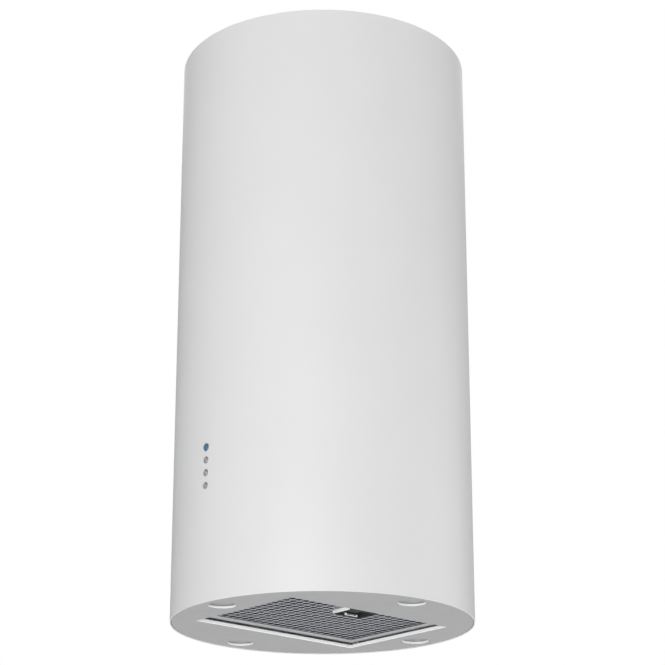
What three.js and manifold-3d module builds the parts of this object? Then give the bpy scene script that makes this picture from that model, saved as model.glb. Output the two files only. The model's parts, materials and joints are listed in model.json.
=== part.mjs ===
// Island range hood: a plain white steel cylinder hung from the ceiling, with a flat
// underside, four lamps, a tilting grease filter, four push buttons and a centrifugal blower.
//
// Millimetres. The origin is the centre of the ceiling plate's top face, where the hood meets
// the ceiling. +Z is up, so the hood hangs down to z = -HOOD_HEIGHT. The buttons face -Y, and
// the filter's finger latch is on the +X side.

import * as THREE from 'three';
import { mergeVertices } from 'three/addons/utils/BufferGeometryUtils.js';
import Module from 'manifold-3d';

const wasm = await Module();
wasm.setup();

// ---------------------------------------------------------------------------------------
// Driving dimensions

const HOOD_DIAMETER = 390;
const HOOD_HEIGHT = 780;
const TUBE_WALL = 1.2;
const SHEET = 1.0; // sheet steel of the panel and the blower casing
const GAP = 0.3; // clearance between neighbouring pieces

const PANEL_RECESS = 1.0; // underside panel above the tube's lower edge
const PANEL_RIM = 24; // upturned rim that locates the panel in the tube
const OPENING = { x: 184, y: 264 }; // filter opening, wall to wall of its flange
const OPENING_FLANGE = 4.5; // height of the upturned flange above the panel's face

const FILTER = { x: 175, y: 260, thickness: 10 };
const FILTER_RECESS = 6; // filter face above the panel's face
const FILTER_STRIP = 11.5; // width of the folded frame around the mesh
const FILTER_SHEET = 0.8;
const FILTER_HINGE_INSET = 3; // hinge pins from the frame's -X edge
const FILTER_PIN_RADIUS = 1.5;

const HANDLE = { x0: 41, x1: 75.7, y: 3, halfWidth: 23, drop: 2.3, wall: 1.5 };
const LATCH_TAB = { x: 50, thickness: 2, halfWidth: 10.5, height: 4 };
const LATCH_TRAVEL = 4;

const LAMP_CIRCLE = 165; // radius of the circle the lamps lie on
const LAMP_HOLE_RADIUS = 19;

const BUTTON_HEIGHT = 198; // top button above the tube's lower edge
const BUTTON_PITCH = 16.6;
const BUTTON_TRAVEL = 1.5;

const CASING = { x: 220, y: 280, height: 347 }; // blower casing
const BLOWER = { x: -9.6, z: -595, width: 150 }; // impeller axis, along Y
const SCROLL = { start: 80, end: 112, wall: 2.5 };
const IMPELLER = { radius: 72, width: 120, blades: 24 };
const INLET_RADIUS = 58;

const DUCT_RADIUS = 75; // outside of the outlet collar, for a 150 mm duct
const COLLAR_HEIGHT = 60;
const PLATE_RADIUS = 188; // ceiling plate
const PLATE_THICKNESS = 2;
const DUCT_HOLE_RADIUS = 82;
const LEG = { width: 20, thickness: 1.5, overlap: 190 };

// Levels worked out from the above

const TUBE_RADIUS = HOOD_DIAMETER / 2;
const TUBE_BORE = TUBE_RADIUS - TUBE_WALL;
const BOTTOM = -HOOD_HEIGHT;
const PANEL_FACE = BOTTOM + PANEL_RECESS;
const PANEL_TOP = PANEL_FACE + SHEET;
const FILTER_FACE = PANEL_FACE + FILTER_RECESS;
const FILTER_TOP = FILTER_FACE + FILTER.thickness;
const CASING_BASE = PANEL_TOP + GAP;
const CASING_TOP = CASING_BASE + CASING.height;
const COLLAR_BASE = CASING_TOP + GAP;

const ROUND = 72; // sides of the large circles
const DUCT_SIDES = 32;
const MEDIUM = 24;
const SMALL = 12;

// ---------------------------------------------------------------------------------------
// Solids: three.js shapes in, closed bodies out

function solid(geometry) {
  const bare = geometry.clone();
  bare.deleteAttribute('normal');
  bare.deleteAttribute('uv');
  const merged = mergeVertices(bare, 1e-4);
  const corners = merged.index.array;
  const kept = [];
  for (let i = 0; i < corners.length; i += 3) {
    const [a, b, c] = [corners[i], corners[i + 1], corners[i + 2]];
    if (a !== b && b !== c && c !== a) kept.push(a, b, c);
  }
  return new wasm.Manifold(new wasm.Mesh({
    numProp: 3,
    vertProperties: new Float32Array(merged.attributes.position.array),
    triVerts: new Uint32Array(kept),
  }));
}

function geometryOf(body) {
  const mesh = body.getMesh();
  const geometry = new THREE.BufferGeometry();
  geometry.setAttribute('position', new THREE.BufferAttribute(mesh.vertProperties, 3));
  geometry.setIndex(new THREE.BufferAttribute(mesh.triVerts, 1));
  return geometry;
}

function block(x0, x1, y0, y1, z0, z1) {
  const box = new THREE.BoxGeometry(x1 - x0, y1 - y0, z1 - z0);
  return solid(box.translate((x0 + x1) / 2, (y0 + y1) / 2, (z0 + z1) / 2));
}

// Turns a closed (radius, height) outline about the Z axis.
function turned(outline, sides) {
  const points = outline.map(([r, z]) => new THREE.Vector2(r, z));
  if (THREE.ShapeUtils.area(points) < 0) points.reverse();
  points.push(points[0].clone());
  return solid(new THREE.LatheGeometry(points, sides).rotateX(Math.PI / 2));
}

function disc(radius, z0, z1, sides) {
  return turned([[0, z0], [radius, z0], [radius, z1], [0, z1]], sides);
}

function ring(inner, outer, z0, z1, sides) {
  return turned([[inner, z0], [outer, z0], [outer, z1], [inner, z1]], sides);
}

// Turns a body made along +Z so that it lies along +Y.
function alongY(body) {
  return body.rotate([-90, 0, 0]);
}

function alongX(body) {
  return body.rotate([0, 90, 0]);
}

// A plate with an outline in X and Z, from y0 to y1.
function plateXZ(outline, y0, y1) {
  const shape = new THREE.Shape(outline.map(([x, z]) => new THREE.Vector2(x, z)));
  const plate = new THREE.ExtrudeGeometry(shape, { depth: y1 - y0, bevelEnabled: false });
  return solid(plate.rotateX(Math.PI / 2).translate(0, y1, 0));
}

function frameOf(outerX, outerY, innerX, innerY, z0, z1) {
  const outer = block(-outerX / 2, outerX / 2, -outerY / 2, outerY / 2, z0, z1);
  return outer.subtract(block(-innerX / 2, innerX / 2, -innerY / 2, innerY / 2, z0 - 1, z1 + 1));
}

// ---------------------------------------------------------------------------------------
// Finishes

function finish(color, roughness, metalness) {
  return new THREE.MeshStandardMaterial({ color, roughness, metalness });
}

const WHITE_PAINT = finish(0xf2f3f4, 0.45, 0.0);
const PANEL_PAINT = finish(0xe8e9ea, 0.5, 0.0);
const ALUMINIUM = finish(0xb9bbbd, 0.4, 0.9);
const MESH_METAL = finish(0x6f7276, 0.5, 0.9);
const GALVANISED = finish(0xa8adb0, 0.5, 0.8);
const STEEL = finish(0xc8cacc, 0.25, 1.0);
const DARK_PLASTIC = finish(0x2b2c2e, 0.6, 0.0);
const GREY_PLASTIC = finish(0x8d9093, 0.55, 0.0);
const LENS_PLASTIC = finish(0xdadbd9, 0.35, 0.0);
const BLUE_LENS = finish(0x5a86a8, 0.3, 0.0);
const BOARD_GREEN = finish(0x2f6b46, 0.6, 0.0);

const hood = new THREE.Group();

function part(name, body, material, parent = hood) {
  const mesh = new THREE.Mesh(geometryOf(body), material);
  mesh.name = name;
  parent.add(mesh);
  return mesh;
}

function groupAt(x, y, z, turn = 0) {
  const group = new THREE.Group();
  group.position.set(x, y, z);
  group.rotation.z = turn;
  hood.add(group);
  return group;
}

// ---------------------------------------------------------------------------------------
// Push buttons: the power button on top is a little larger and lit

const SMALL_BUTTON = { hole: 4.5, bezelBore: 3.3, cap: 3.0 };
const POWER_BUTTON = { hole: 5.3, bezelBore: 4.3, cap: 4.0 };
const BUTTONS = [
  { name: 'power', height: BUTTON_HEIGHT, size: POWER_BUTTON, finish: BLUE_LENS },
  { name: 'light', height: BUTTON_HEIGHT - BUTTON_PITCH, size: SMALL_BUTTON, finish: STEEL },
  { name: 'speed_up', height: BUTTON_HEIGHT - 2 * BUTTON_PITCH, size: SMALL_BUTTON, finish: STEEL },
  { name: 'speed_down', height: BUTTON_HEIGHT - 3 * BUTTON_PITCH, size: SMALL_BUTTON, finish: STEEL },
];

const HOUSING_FRONT = -TUBE_BORE + 1; // clear of the tube's curve across the housing's width
const HOUSING_WALL = 2;
const HOUSING_DEPTH = 14;
const HOUSING_HALF_WIDTH = 14;
const HOUSING_MARGIN = 13; // housing beyond the first and last button
const CAP_FRONT = -TUBE_RADIUS - 1.4;
const FLANGE = { thickness: 1.2, extra: 1.2 };
const STEM_END = -TUBE_RADIUS + 9.4;

function buttonGroup(button) {
  return groupAt(0, 0, BOTTOM + button.height);
}

function addButton(button) {
  const group = buttonGroup(button);
  const { hole, bezelBore, cap } = button.size;
  const bezel = ring(bezelBore, hole - GAP, -TUBE_RADIUS - 0.6, HOUSING_FRONT - GAP, SMALL);
  part(`${button.name}_button_bezel`, alongY(bezel), STEEL, group);

  const flangeFront = HOUSING_FRONT + HOUSING_WALL + GAP;
  const flangeBack = flangeFront + FLANGE.thickness;
  const profile = [
    [0, CAP_FRONT], [cap - 0.4, CAP_FRONT], [cap, CAP_FRONT + 0.4], [cap, flangeFront],
    [cap + FLANGE.extra, flangeFront], [cap + FLANGE.extra, flangeBack], [1.5, flangeBack],
    [1.5, STEM_END], [0, STEM_END],
  ];
  part(`${button.name}_button`, alongY(turned(profile, SMALL)), button.finish, group);
}

function buttonHole(button, radius, y0, y1) {
  return alongY(disc(radius, y0, y1, SMALL)).translate([0, 0, BOTTOM + button.height]);
}

function addSwitchHousing() {
  const top = BOTTOM + BUTTONS[0].height + HOUSING_MARGIN;
  const base = BOTTOM + BUTTONS.at(-1).height - HOUSING_MARGIN;
  const back = HOUSING_FRONT + HOUSING_DEPTH;
  const inside = HOUSING_HALF_WIDTH - HOUSING_WALL;
  const floor = HOUSING_FRONT + HOUSING_WALL;
  let housing = block(-HOUSING_HALF_WIDTH, HOUSING_HALF_WIDTH, HOUSING_FRONT, back, base, top);
  housing = housing.subtract(
    block(-inside, inside, floor, back + 1, base + HOUSING_WALL, top - HOUSING_WALL));
  for (const button of BUTTONS) {
    housing = housing.subtract(
      buttonHole(button, button.size.cap + GAP, HOUSING_FRONT - 1, floor + 1));
  }
  part('switch_housing', housing, DARK_PLASTIC);

  // circuit board with one tactile switch behind each button
  const boardFront = back - 3;
  const edge = HOUSING_WALL + GAP;
  let board = block(-inside + GAP, inside - GAP, boardFront, boardFront + 1.6, base + edge, top - edge);
  for (const button of BUTTONS) {
    const z = BOTTOM + button.height;
    const switchFront = STEM_END + BUTTON_TRAVEL + GAP;
    board = board.add(block(-3, 3, switchFront, boardFront + 0.5, z - 3, z + 3));
  }
  part('control_board', board, BOARD_GREEN);
}

// ---------------------------------------------------------------------------------------
// Outer tube

function addOuterTube() {
  let tube = ring(TUBE_BORE, TUBE_RADIUS, BOTTOM, 0, ROUND);
  for (const button of BUTTONS) {
    const hole = buttonHole(button, button.size.hole, -TUBE_RADIUS - 5, -TUBE_BORE + 5);
    tube = tube.subtract(hole);
  }
  part('outer_tube', tube, WHITE_PAINT);
}

// ---------------------------------------------------------------------------------------
// Underside panel with the filter opening, lamp holes, pin cradles and fixing studs

const NUT_PLACES = [[101, 100], [-101, 100], [-101, -100], [101, -100]];
const STUD_RADIUS = 2;
const LAMP_PLACES = [
  { name: 'front', x: 0, y: -LAMP_CIRCLE },
  { name: 'right', x: LAMP_CIRCLE, y: 0 },
  { name: 'rear', x: 0, y: LAMP_CIRCLE },
  { name: 'left', x: -LAMP_CIRCLE, y: 0 },
];
const PIN = {
  x: -FILTER.x / 2 + FILTER_HINGE_INSET,
  z: FILTER_FACE + FILTER_PIN_RADIUS,
  end: OPENING.y / 2 + 4.5,
};

// A small upright ear behind the flange, with a notch that the filter's hinge pin drops into.
function pinCradle(side) {
  const y0 = OPENING.y / 2 + SHEET + 1;
  const ear = block(PIN.x - 5, PIN.x + 5, y0, y0 + 1.5, PANEL_TOP - 0.2, PIN.z + 3);
  const notch = block(PIN.x - 1.8, PIN.x + 1.8, y0 - 1, y0 + 3, PIN.z - 1.8, PIN.z + 4);
  const cradle = ear.subtract(notch);
  return side < 0 ? cradle.rotate([0, 0, 180]).translate([2 * PIN.x, 0, 0]) : cradle;
}

function addBottomPanel() {
  const radius = TUBE_BORE - GAP;
  let panel = disc(radius, PANEL_FACE, PANEL_TOP, ROUND);
  panel = panel.add(ring(radius - SHEET, radius, PANEL_FACE, PANEL_FACE + PANEL_RIM, ROUND));
  panel = panel.add(block(
    -OPENING.x / 2 - SHEET, OPENING.x / 2 + SHEET, -OPENING.y / 2 - SHEET, OPENING.y / 2 + SHEET,
    PANEL_FACE, PANEL_FACE + OPENING_FLANGE));
  panel = panel.subtract(block(
    -OPENING.x / 2, OPENING.x / 2, -OPENING.y / 2, OPENING.y / 2, BOTTOM - 5, PANEL_TOP + 10));
  for (const { x, y } of LAMP_PLACES) {
    const hole = disc(LAMP_HOLE_RADIUS, PANEL_FACE - 1, PANEL_TOP + 1, MEDIUM);
    panel = panel.subtract(hole.translate([x, y, 0]));
  }
  for (const [x, y] of NUT_PLACES) {
    const stud = disc(STUD_RADIUS, PANEL_TOP - 0.2, PANEL_TOP + 7, SMALL);
    panel = panel.add(stud.translate([x, y, 0]));
  }
  panel = panel.add(pinCradle(1)).add(pinCradle(-1));
  part('bottom_panel', panel, PANEL_PAINT);
}

// ---------------------------------------------------------------------------------------
// Lamps: a recessed ring from above, a flat diffuser on it and a finned body

function addLamp({ name, x, y }) {
  const group = groupAt(x, y, PANEL_TOP);
  const sleeve = LAMP_HOLE_RADIUS - GAP;
  const aperture = sleeve - 0.8;
  const flangeTop = GAP + 2;
  const trim = [
    [aperture, 0.1 - SHEET], [sleeve, 0.1 - SHEET], [sleeve, GAP], [sleeve + 3.5, GAP],
    [sleeve + 3.5, flangeTop], [aperture, flangeTop],
  ];
  part(`lamp_trim_${name}`, turned(trim, MEDIUM), WHITE_PAINT, group);

  const lensBase = flangeTop + GAP;
  const lensTop = lensBase + 1.5;
  part(`lamp_lens_${name}`, disc(sleeve + 2, lensBase, lensTop, MEDIUM), LENS_PLASTIC, group);

  const bodyBase = lensTop + GAP;
  const fins = 2;
  const finPitch = 6;
  const outline = [[0, bodyBase], [sleeve + 2, bodyBase]];
  for (let fin = 0; fin < fins; fin += 1) {
    const z = bodyBase + 4 + fin * finPitch;
    outline.push([sleeve + 2, z], [9, z], [9, z + finPitch / 2], [sleeve + 2, z + finPitch / 2]);
  }
  const top = bodyBase + 4 + fins * finPitch;
  outline.push([sleeve + 2, top], [0, top]);
  part(`lamp_body_${name}`, turned(outline, SMALL), ALUMINIUM, group);
}

// ---------------------------------------------------------------------------------------
// Grease filter: folded aluminium frame, three mesh layers, handle cup and spring latch

const POCKET = { x: FILTER.x - 2 * FILTER_SHEET, y: FILTER.y - 2 * FILTER_SHEET };
const LATCH_Z = FILTER_FACE + 2.2; // underside of the latch's sliding plate
const LATCH_PLATE = 1.5;
const LATCH_HALF_WIDTH = 8;
const TONGUE_END = OPENING.x / 2 - 0.5;

function addFilterFrame() {
  let frame = frameOf(FILTER.x, FILTER.y, FILTER.x - 2 * FILTER_STRIP, FILTER.y - 2 * FILTER_STRIP,
    FILTER_FACE, FILTER_TOP);
  frame = frame.subtract(block(-POCKET.x / 2, POCKET.x / 2, -POCKET.y / 2, POCKET.y / 2,
    FILTER_FACE + FILTER_SHEET, FILTER_TOP - FILTER_SHEET));
  const slotHalf = LATCH_HALF_WIDTH + GAP;
  frame = frame.subtract(block(POCKET.x / 2 - 1, FILTER.x / 2 + 1,
    HANDLE.y - slotHalf, HANDLE.y + slotHalf, LATCH_Z - GAP, LATCH_Z + LATCH_PLATE + GAP));
  for (const side of [-1, 1]) {
    const pin = alongY(disc(FILTER_PIN_RADIUS, FILTER.y / 2 - 0.5, PIN.end, SMALL));
    const placed = side > 0 ? pin : pin.rotate([0, 0, 180]);
    frame = frame.add(placed.translate([PIN.x, 0, PIN.z]));
  }
  part('filter_frame', frame, ALUMINIUM);
}

// The handle cup and its latch pass through the layers in one cut-out.
function addFilterMeshes() {
  const layer = 0.8;
  const low = FILTER_FACE + FILTER_SHEET + GAP;
  const high = FILTER_TOP - FILTER_SHEET - GAP - layer;
  const names = ['filter_front_mesh', 'filter_core_mesh', 'filter_back_mesh'];
  const halfX = POCKET.x / 2 - GAP;
  const halfY = POCKET.y / 2 - GAP;
  names.forEach((name, index) => {
    const z = low + (index * (high - low)) / 2;
    const sheet = block(-halfX, halfX, -halfY, halfY, z, z + layer);
    const cut = block(HANDLE.x0 - GAP, halfX + 1, -HANDLE.halfWidth - GAP, HANDLE.halfWidth + GAP,
      z - 1, z + layer + 1).translate([0, HANDLE.y, 0]);
    part(name, sheet.subtract(cut), MESH_METAL);
  });
}

function addFilterHandle() {
  const { x0, x1, y, halfWidth, drop, wall } = HANDLE;
  const base = FILTER_FACE - drop;
  const top = FILTER_TOP - FILTER_SHEET - GAP;
  const ceiling = LATCH_Z + LATCH_PLATE + GAP + 0.5;
  const slotHalf = LATCH_HALF_WIDTH + GAP;
  let cup = block(x0, x1, -halfWidth, halfWidth, base, top);
  cup = cup.subtract(block(x0 + wall, x1 - wall, -halfWidth + wall, halfWidth - wall,
    base - 1, ceiling));
  cup = cup.subtract(block(x1 - wall - 1, x1 + 1, -slotHalf, slotHalf,
    LATCH_Z - GAP, LATCH_Z + LATCH_PLATE + GAP));
  part('filter_handle_cup', cup.translate([0, y, 0]), DARK_PLASTIC);

  // finger tab, sliding plate and tongue in one piece; it slides towards -X to let go
  const tab = block(LATCH_TAB.x, LATCH_TAB.x + LATCH_TAB.thickness, -LATCH_TAB.halfWidth,
    LATCH_TAB.halfWidth, LATCH_Z - LATCH_TAB.height - 1.4, LATCH_Z + 0.5);
  const plate = block(LATCH_TAB.x, TONGUE_END, -LATCH_HALF_WIDTH, LATCH_HALF_WIDTH,
    LATCH_Z, LATCH_Z + LATCH_PLATE);
  part('filter_latch', tab.add(plate).translate([0, y, 0]), ALUMINIUM);

  const springRadius = 1.4;
  const spring = disc(springRadius, x0 + wall + GAP, LATCH_TAB.x - GAP, SMALL);
  part('latch_spring', alongX(spring).translate([0, y, LATCH_Z - 1.4]), STEEL);
}

// ---------------------------------------------------------------------------------------
// Blower casing, fixed to the panel by nuts on its studs

function addCasing() {
  const halfX = CASING.x / 2;
  const halfY = CASING.y / 2;
  const ledge = 14;
  let casing = block(-halfX, halfX, -halfY, halfY, CASING_BASE, CASING_TOP);
  casing = casing.subtract(block(-halfX + SHEET, halfX - SHEET, -halfY + SHEET, halfY - SHEET,
    CASING_BASE + SHEET, CASING_TOP - SHEET));
  casing = casing.subtract(block(-halfX + ledge, halfX - ledge, -halfY + SHEET, halfY - SHEET,
    CASING_BASE - 1, CASING_BASE + SHEET + 1));
  casing = casing.subtract(disc(DUCT_RADIUS - 2, CASING_TOP - 5, CASING_TOP + 5, MEDIUM));
  for (const [x, y] of NUT_PLACES) {
    const hole = disc(STUD_RADIUS + 0.5, CASING_BASE - 1, CASING_BASE + 3, SMALL);
    casing = casing.subtract(hole.translate([x, y, 0]));
  }
  part('blower_casing', casing, GALVANISED);

  const nutBase = CASING_BASE + SHEET + GAP;
  NUT_PLACES.forEach(([x, y], index) => {
    const group = groupAt(x, y, nutBase);
    const nut = ring(STUD_RADIUS + 0.4, 4, 0, 3.2, 6);
    part(`panel_nut_${index + 1}`, nut, STEEL, group);
  });
}

// ---------------------------------------------------------------------------------------
// Blower: two-part scroll, double-inlet impeller, motor in the front inlet

const SCROLL_START = Math.PI / 3;
const SCROLL_STEPS = 24;
const OUTLET_HALF = 72;
const OUTLET_TOP = CASING_TOP - SHEET - GAP;

// The scroll's radius grows evenly from its tongue round to the outlet.
function scrollOutline(inset) {
  const outline = [];
  for (let step = 0; step <= SCROLL_STEPS; step += 1) {
    const share = step / SCROLL_STEPS;
    const angle = SCROLL_START + share * (2 * Math.PI - SCROLL_START);
    const radius = SCROLL.start + share * (SCROLL.end - SCROLL.start) - inset;
    outline.push([BLOWER.x + radius * Math.cos(angle), BLOWER.z + radius * Math.sin(angle)]);
  }
  return outline;
}

function outletOutline(inset) {
  const tongueX = BLOWER.x + SCROLL.start * Math.cos(SCROLL_START) + inset;
  const tongueZ = BLOWER.z + SCROLL.start * Math.sin(SCROLL_START) - 20;
  const top = OUTLET_TOP + (inset > 0 ? 1 : 0);
  return [
    [tongueX - inset, BLOWER.z], [BLOWER.x + SCROLL.end - inset, BLOWER.z],
    [OUTLET_HALF - inset, top], [-OUTLET_HALF + inset, top], [tongueX, tongueZ],
  ];
}

function scrollBody(inset, y0, y1) {
  return plateXZ(scrollOutline(inset), y0, y1).add(plateXZ(outletOutline(inset), y0, y1));
}

function addVolute() {
  const half = BLOWER.width / 2;
  const wall = SCROLL.wall;
  const seam = GAP / 2;
  const inlet = alongY(disc(INLET_RADIUS + 4, -half - 5, half + 5, MEDIUM))
    .translate([BLOWER.x, 0, BLOWER.z]);
  const front = scrollBody(0, -half, -seam).subtract(scrollBody(wall, -half + wall, 1));
  part('volute_front', front.subtract(inlet), DARK_PLASTIC);
  const rear = scrollBody(0, seam, half).subtract(scrollBody(wall, -1, half - wall));
  part('volute_rear', rear.subtract(inlet), DARK_PLASTIC);
}

function addInletRings() {
  const start = BLOWER.width / 2 + GAP;
  const depth = 9;
  const outline = [[INLET_RADIUS + 2, start], [INLET_RADIUS + 14, start]];
  const lipCentre = INLET_RADIUS + 8;
  const steps = 4;
  for (let step = 0; step <= steps; step += 1) {
    const angle = (Math.PI * step) / steps;
    outline.push([lipCentre + 6 * Math.cos(angle), start + depth - 6 + 6 * Math.sin(angle)]);
  }
  for (const [name, turn] of [['front', 90], ['rear', -90]]) {
    const bell = turned(outline, MEDIUM).rotate([turn, 0, 0]);
    part(`inlet_ring_${name}`, bell.translate([BLOWER.x, 0, BLOWER.z]), DARK_PLASTIC);
  }
}

const SHAFT_RADIUS = 4;
const MOTOR = { radius: 42, front: -112, rear: -18 };

function addImpeller() {
  const { radius, width, blades } = IMPELLER;
  const depth = 12; // radial depth of a blade
  let wheel = ring(SHAFT_RADIUS + GAP, radius - 1, -1.5, 1.5, MEDIUM);
  wheel = wheel.add(ring(SHAFT_RADIUS + GAP, 12, -8, 14, MEDIUM));
  for (const z of [-width / 2, width / 2 - 3]) {
    wheel = wheel.add(ring(radius - depth, radius, z, z + 3, MEDIUM));
  }
  for (let index = 0; index < blades; index += 1) {
    const blade = block(radius - depth + 0.5, radius - 0.8, -0.6, 0.6, -width / 2 + 1, width / 2 - 1);
    const leaned = blade.translate([-radius, 0, 0]).rotate([0, 0, 30]).translate([radius - 1.5, 0, 0]);
    wheel = wheel.add(leaned.rotate([0, 0, (360 * index) / blades]));
  }
  part('impeller', alongY(wheel).translate([BLOWER.x, 0, BLOWER.z]), DARK_PLASTIC);
}

function addMotor() {
  const { radius, front, rear } = MOTOR;
  const bore = SHAFT_RADIUS + 0.5;
  const outline = [
    [bore, front], [radius - 6, front], [radius, front + 6], [radius, front + 34],
    [radius - 4, front + 36], [radius - 4, rear - 8], [14, rear - 4], [14, rear], [bore, rear],
  ];
  part('motor', alongY(turned(outline, MEDIUM)).translate([BLOWER.x, 0, BLOWER.z]), STEEL);

  const shaft = alongY(disc(SHAFT_RADIUS, front - 4, 20, SMALL));
  part('motor_shaft', shaft.translate([BLOWER.x, 0, BLOWER.z]), STEEL);

  // clamp band round the motor, with three arms that stand on the scroll's front wall
  const bandFront = front + 8;
  const bandBack = bandFront + 8;
  const footY = -BLOWER.width / 2 - GAP;
  let bracket = ring(radius + GAP, radius + 3, bandFront, bandBack, MEDIUM);
  for (const turn of [0, 120, 240]) {
    const arm = block(radius + 2, 80, -6, 6, bandFront, bandFront + 2.5);
    const leg = block(77.5, 80, -6, 6, bandFront, footY);
    bracket = bracket.add(arm.add(leg).rotate([0, 0, turn]));
  }
  part('motor_bracket', alongY(bracket).translate([BLOWER.x, 0, BLOWER.z]), GALVANISED);
}

// ---------------------------------------------------------------------------------------
// Outlet collar with two non-return flaps on one pin

const FLAP_PIN = { z: COLLAR_BASE + 14, radius: 1.5 };
const COLLAR_WALL = 1.5;
const FLAP_RADIUS = DUCT_RADIUS - COLLAR_WALL - 1.5;
const FLAP_SHEET = 1; // the flaps hang below the pin's axis, so they clear each other when open
const KNUCKLES = { front: [[-62, -34], [6, 34]], rear: [[-30, 2], [38, 62]] };

function addCollar() {
  const bore = DUCT_RADIUS - COLLAR_WALL;
  const ledge = FLAP_PIN.z - FLAP_SHEET - GAP;
  const outline = [
    [bore, COLLAR_BASE], [DUCT_RADIUS + 10, COLLAR_BASE], [DUCT_RADIUS + 10, COLLAR_BASE + 1.5],
    [DUCT_RADIUS, COLLAR_BASE + 1.5], [DUCT_RADIUS, COLLAR_BASE + COLLAR_HEIGHT],
    [bore, COLLAR_BASE + COLLAR_HEIGHT], [bore, ledge], [bore - 4, ledge], [bore - 4, ledge - 1.5],
    [bore, ledge - 1.5],
  ];
  const pinNotch = block(-bore - 0.4, bore + 0.4, -2, 2, ledge - 2, FLAP_PIN.z + 2);
  part('outlet_collar', turned(outline, DUCT_SIDES).subtract(pinNotch), GREY_PLASTIC);

  const half = bore - 0.6;
  const pin = alongX(disc(FLAP_PIN.radius, -half, half, SMALL));
  part('flap_pin', pin.translate([0, 0, FLAP_PIN.z]), STEEL);
}

function addFlap(name, side) {
  const other = name === 'front' ? 'rear' : 'front';
  let flap = disc(FLAP_RADIUS, -FLAP_SHEET, 0, DUCT_SIDES);
  flap = flap.intersect(block(-FLAP_RADIUS, FLAP_RADIUS, 2, FLAP_RADIUS + 1, -2, 1));
  for (const [x0, x1] of KNUCKLES[other]) {
    flap = flap.subtract(block(x0 - 1, x1 + 1, 0, 3.4, -2, 1));
  }
  for (const [x0, x1] of KNUCKLES[name]) {
    flap = flap.add(block(x0, x1, 1.9, 4, -FLAP_SHEET, 0));
    flap = flap.add(alongX(ring(FLAP_PIN.radius + GAP, 2.6, x0, x1, SMALL)));
  }
  const placed = side > 0 ? flap : flap.mirror([0, 1, 0]);
  part(`${name}_flap`, placed.translate([0, 0, FLAP_PIN.z]), GREY_PLASTIC);
}

// ---------------------------------------------------------------------------------------
// Suspension: ceiling plate, four angle legs down to the casing, brackets out to the tube

const SLOT = { radius: 3.5, length: 26, circle: 168 };

function addCeilingPlate() {
  let plate = ring(DUCT_HOLE_RADIUS, PLATE_RADIUS, -PLATE_THICKNESS, 0, ROUND);
  for (let index = 0; index < 8; index += 1) {
    const slot = block(SLOT.circle - SLOT.radius, SLOT.circle + SLOT.radius,
      -SLOT.length / 2, SLOT.length / 2, -5, 5);
    plate = plate.subtract(slot.rotate([0, 0, 22.5 + 45 * index]));
  }
  const cable = disc(10, -5, 5, SMALL);
  part('ceiling_plate', plate.subtract(cable.translate([0, -105, 0])), GALVANISED);
}

// One leg is an angle profile whose inner corner lies at the casing's corner, with a foot at the
// top that turns in under the ceiling plate.
function addLeg(name, x, y, turn) {
  const group = groupAt(x, y, 0, turn);
  const { width, thickness, overlap } = LEG;
  const top = -PLATE_THICKNESS - GAP;
  const base = CASING_TOP - overlap;
  const outside = GAP + thickness;
  let leg = block(-width, outside, -width, outside, base, top);
  leg = leg.subtract(block(-width - 1, GAP, -width - 1, GAP, base - 1, top - thickness));
  part(`leg_${name}`, leg, GALVANISED, group);
}

function addTubeBracket(name, side) {
  const z = BOTTOM + 80;
  const inner = CASING.x / 2 + GAP;
  const outer = TUBE_BORE - 2.5;
  let bracket = block(inner, outer, -15, 15, z, z + 1.5);
  bracket = bracket.add(block(inner, inner + 1.5, -15, 15, z, z + 22));
  bracket = bracket.add(block(outer - 1.5, outer, -15, 15, z, z + 22));
  const placed = side > 0 ? bracket : bracket.rotate([0, 0, 180]);
  part(`tube_bracket_${name}`, placed, GALVANISED);
}

// ---------------------------------------------------------------------------------------
// Electronics box on the casing's front, with the supply cable's gland on top

const BOX = { halfWidth: 42, front: -182, base: -545, top: -450 };

function addElectronics() {
  const back = -CASING.y / 2 - GAP;
  const wall = 2;
  const { halfWidth, front, base, top } = BOX;
  let box = block(-halfWidth, halfWidth, front, back, base, top);
  box = box.subtract(block(-halfWidth + wall, halfWidth - wall, front + wall, back - wall,
    base + wall, top - wall));
  const glandY = (front + back) / 2;
  box = box.subtract(disc(6.4, top - 5, top + 5, SMALL).translate([0, glandY, 0]));
  part('electronics_box', box, GREY_PLASTIC);

  const bore = 3.8;
  const outline = [
    [bore, -10], [6, -10], [6, GAP], [9.5, GAP], [9.5, 5], [8, 6], [8, 12], [6.5, 16], [bore, 16],
  ];
  part('cable_gland', turned(outline, SMALL).translate([0, glandY, top]), DARK_PLASTIC);
}

// ---------------------------------------------------------------------------------------

addOuterTube();
addBottomPanel();
LAMP_PLACES.forEach(addLamp);
addFilterFrame();
addFilterMeshes();
addFilterHandle();
BUTTONS.forEach(addButton);
addSwitchHousing();
addCasing();
addVolute();
addInletRings();
addImpeller();
addMotor();
addCollar();
addFlap('front', -1);
addFlap('rear', 1);
addCeilingPlate();
addLeg('front_right', CASING.x / 2, -CASING.y / 2, -Math.PI / 2);
addLeg('rear_right', CASING.x / 2, CASING.y / 2, 0);
addLeg('rear_left', -CASING.x / 2, CASING.y / 2, Math.PI / 2);
addLeg('front_left', -CASING.x / 2, -CASING.y / 2, Math.PI);
addTubeBracket('right', 1);
addTubeBracket('left', -1);
addElectronics();

export default hood;
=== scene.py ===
"""Island range hood: a white steel cylinder with a flat underside, seen from below.

Metres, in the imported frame: the origin is where the hood's axis meets the ceiling, +Z is up, the
buttons face -Y and the filter's finger latch is on the +X side.
"""

import json
import math

import bmesh
import bpy
import numpy as np
from mathutils import Matrix, Vector, geometry


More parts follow.
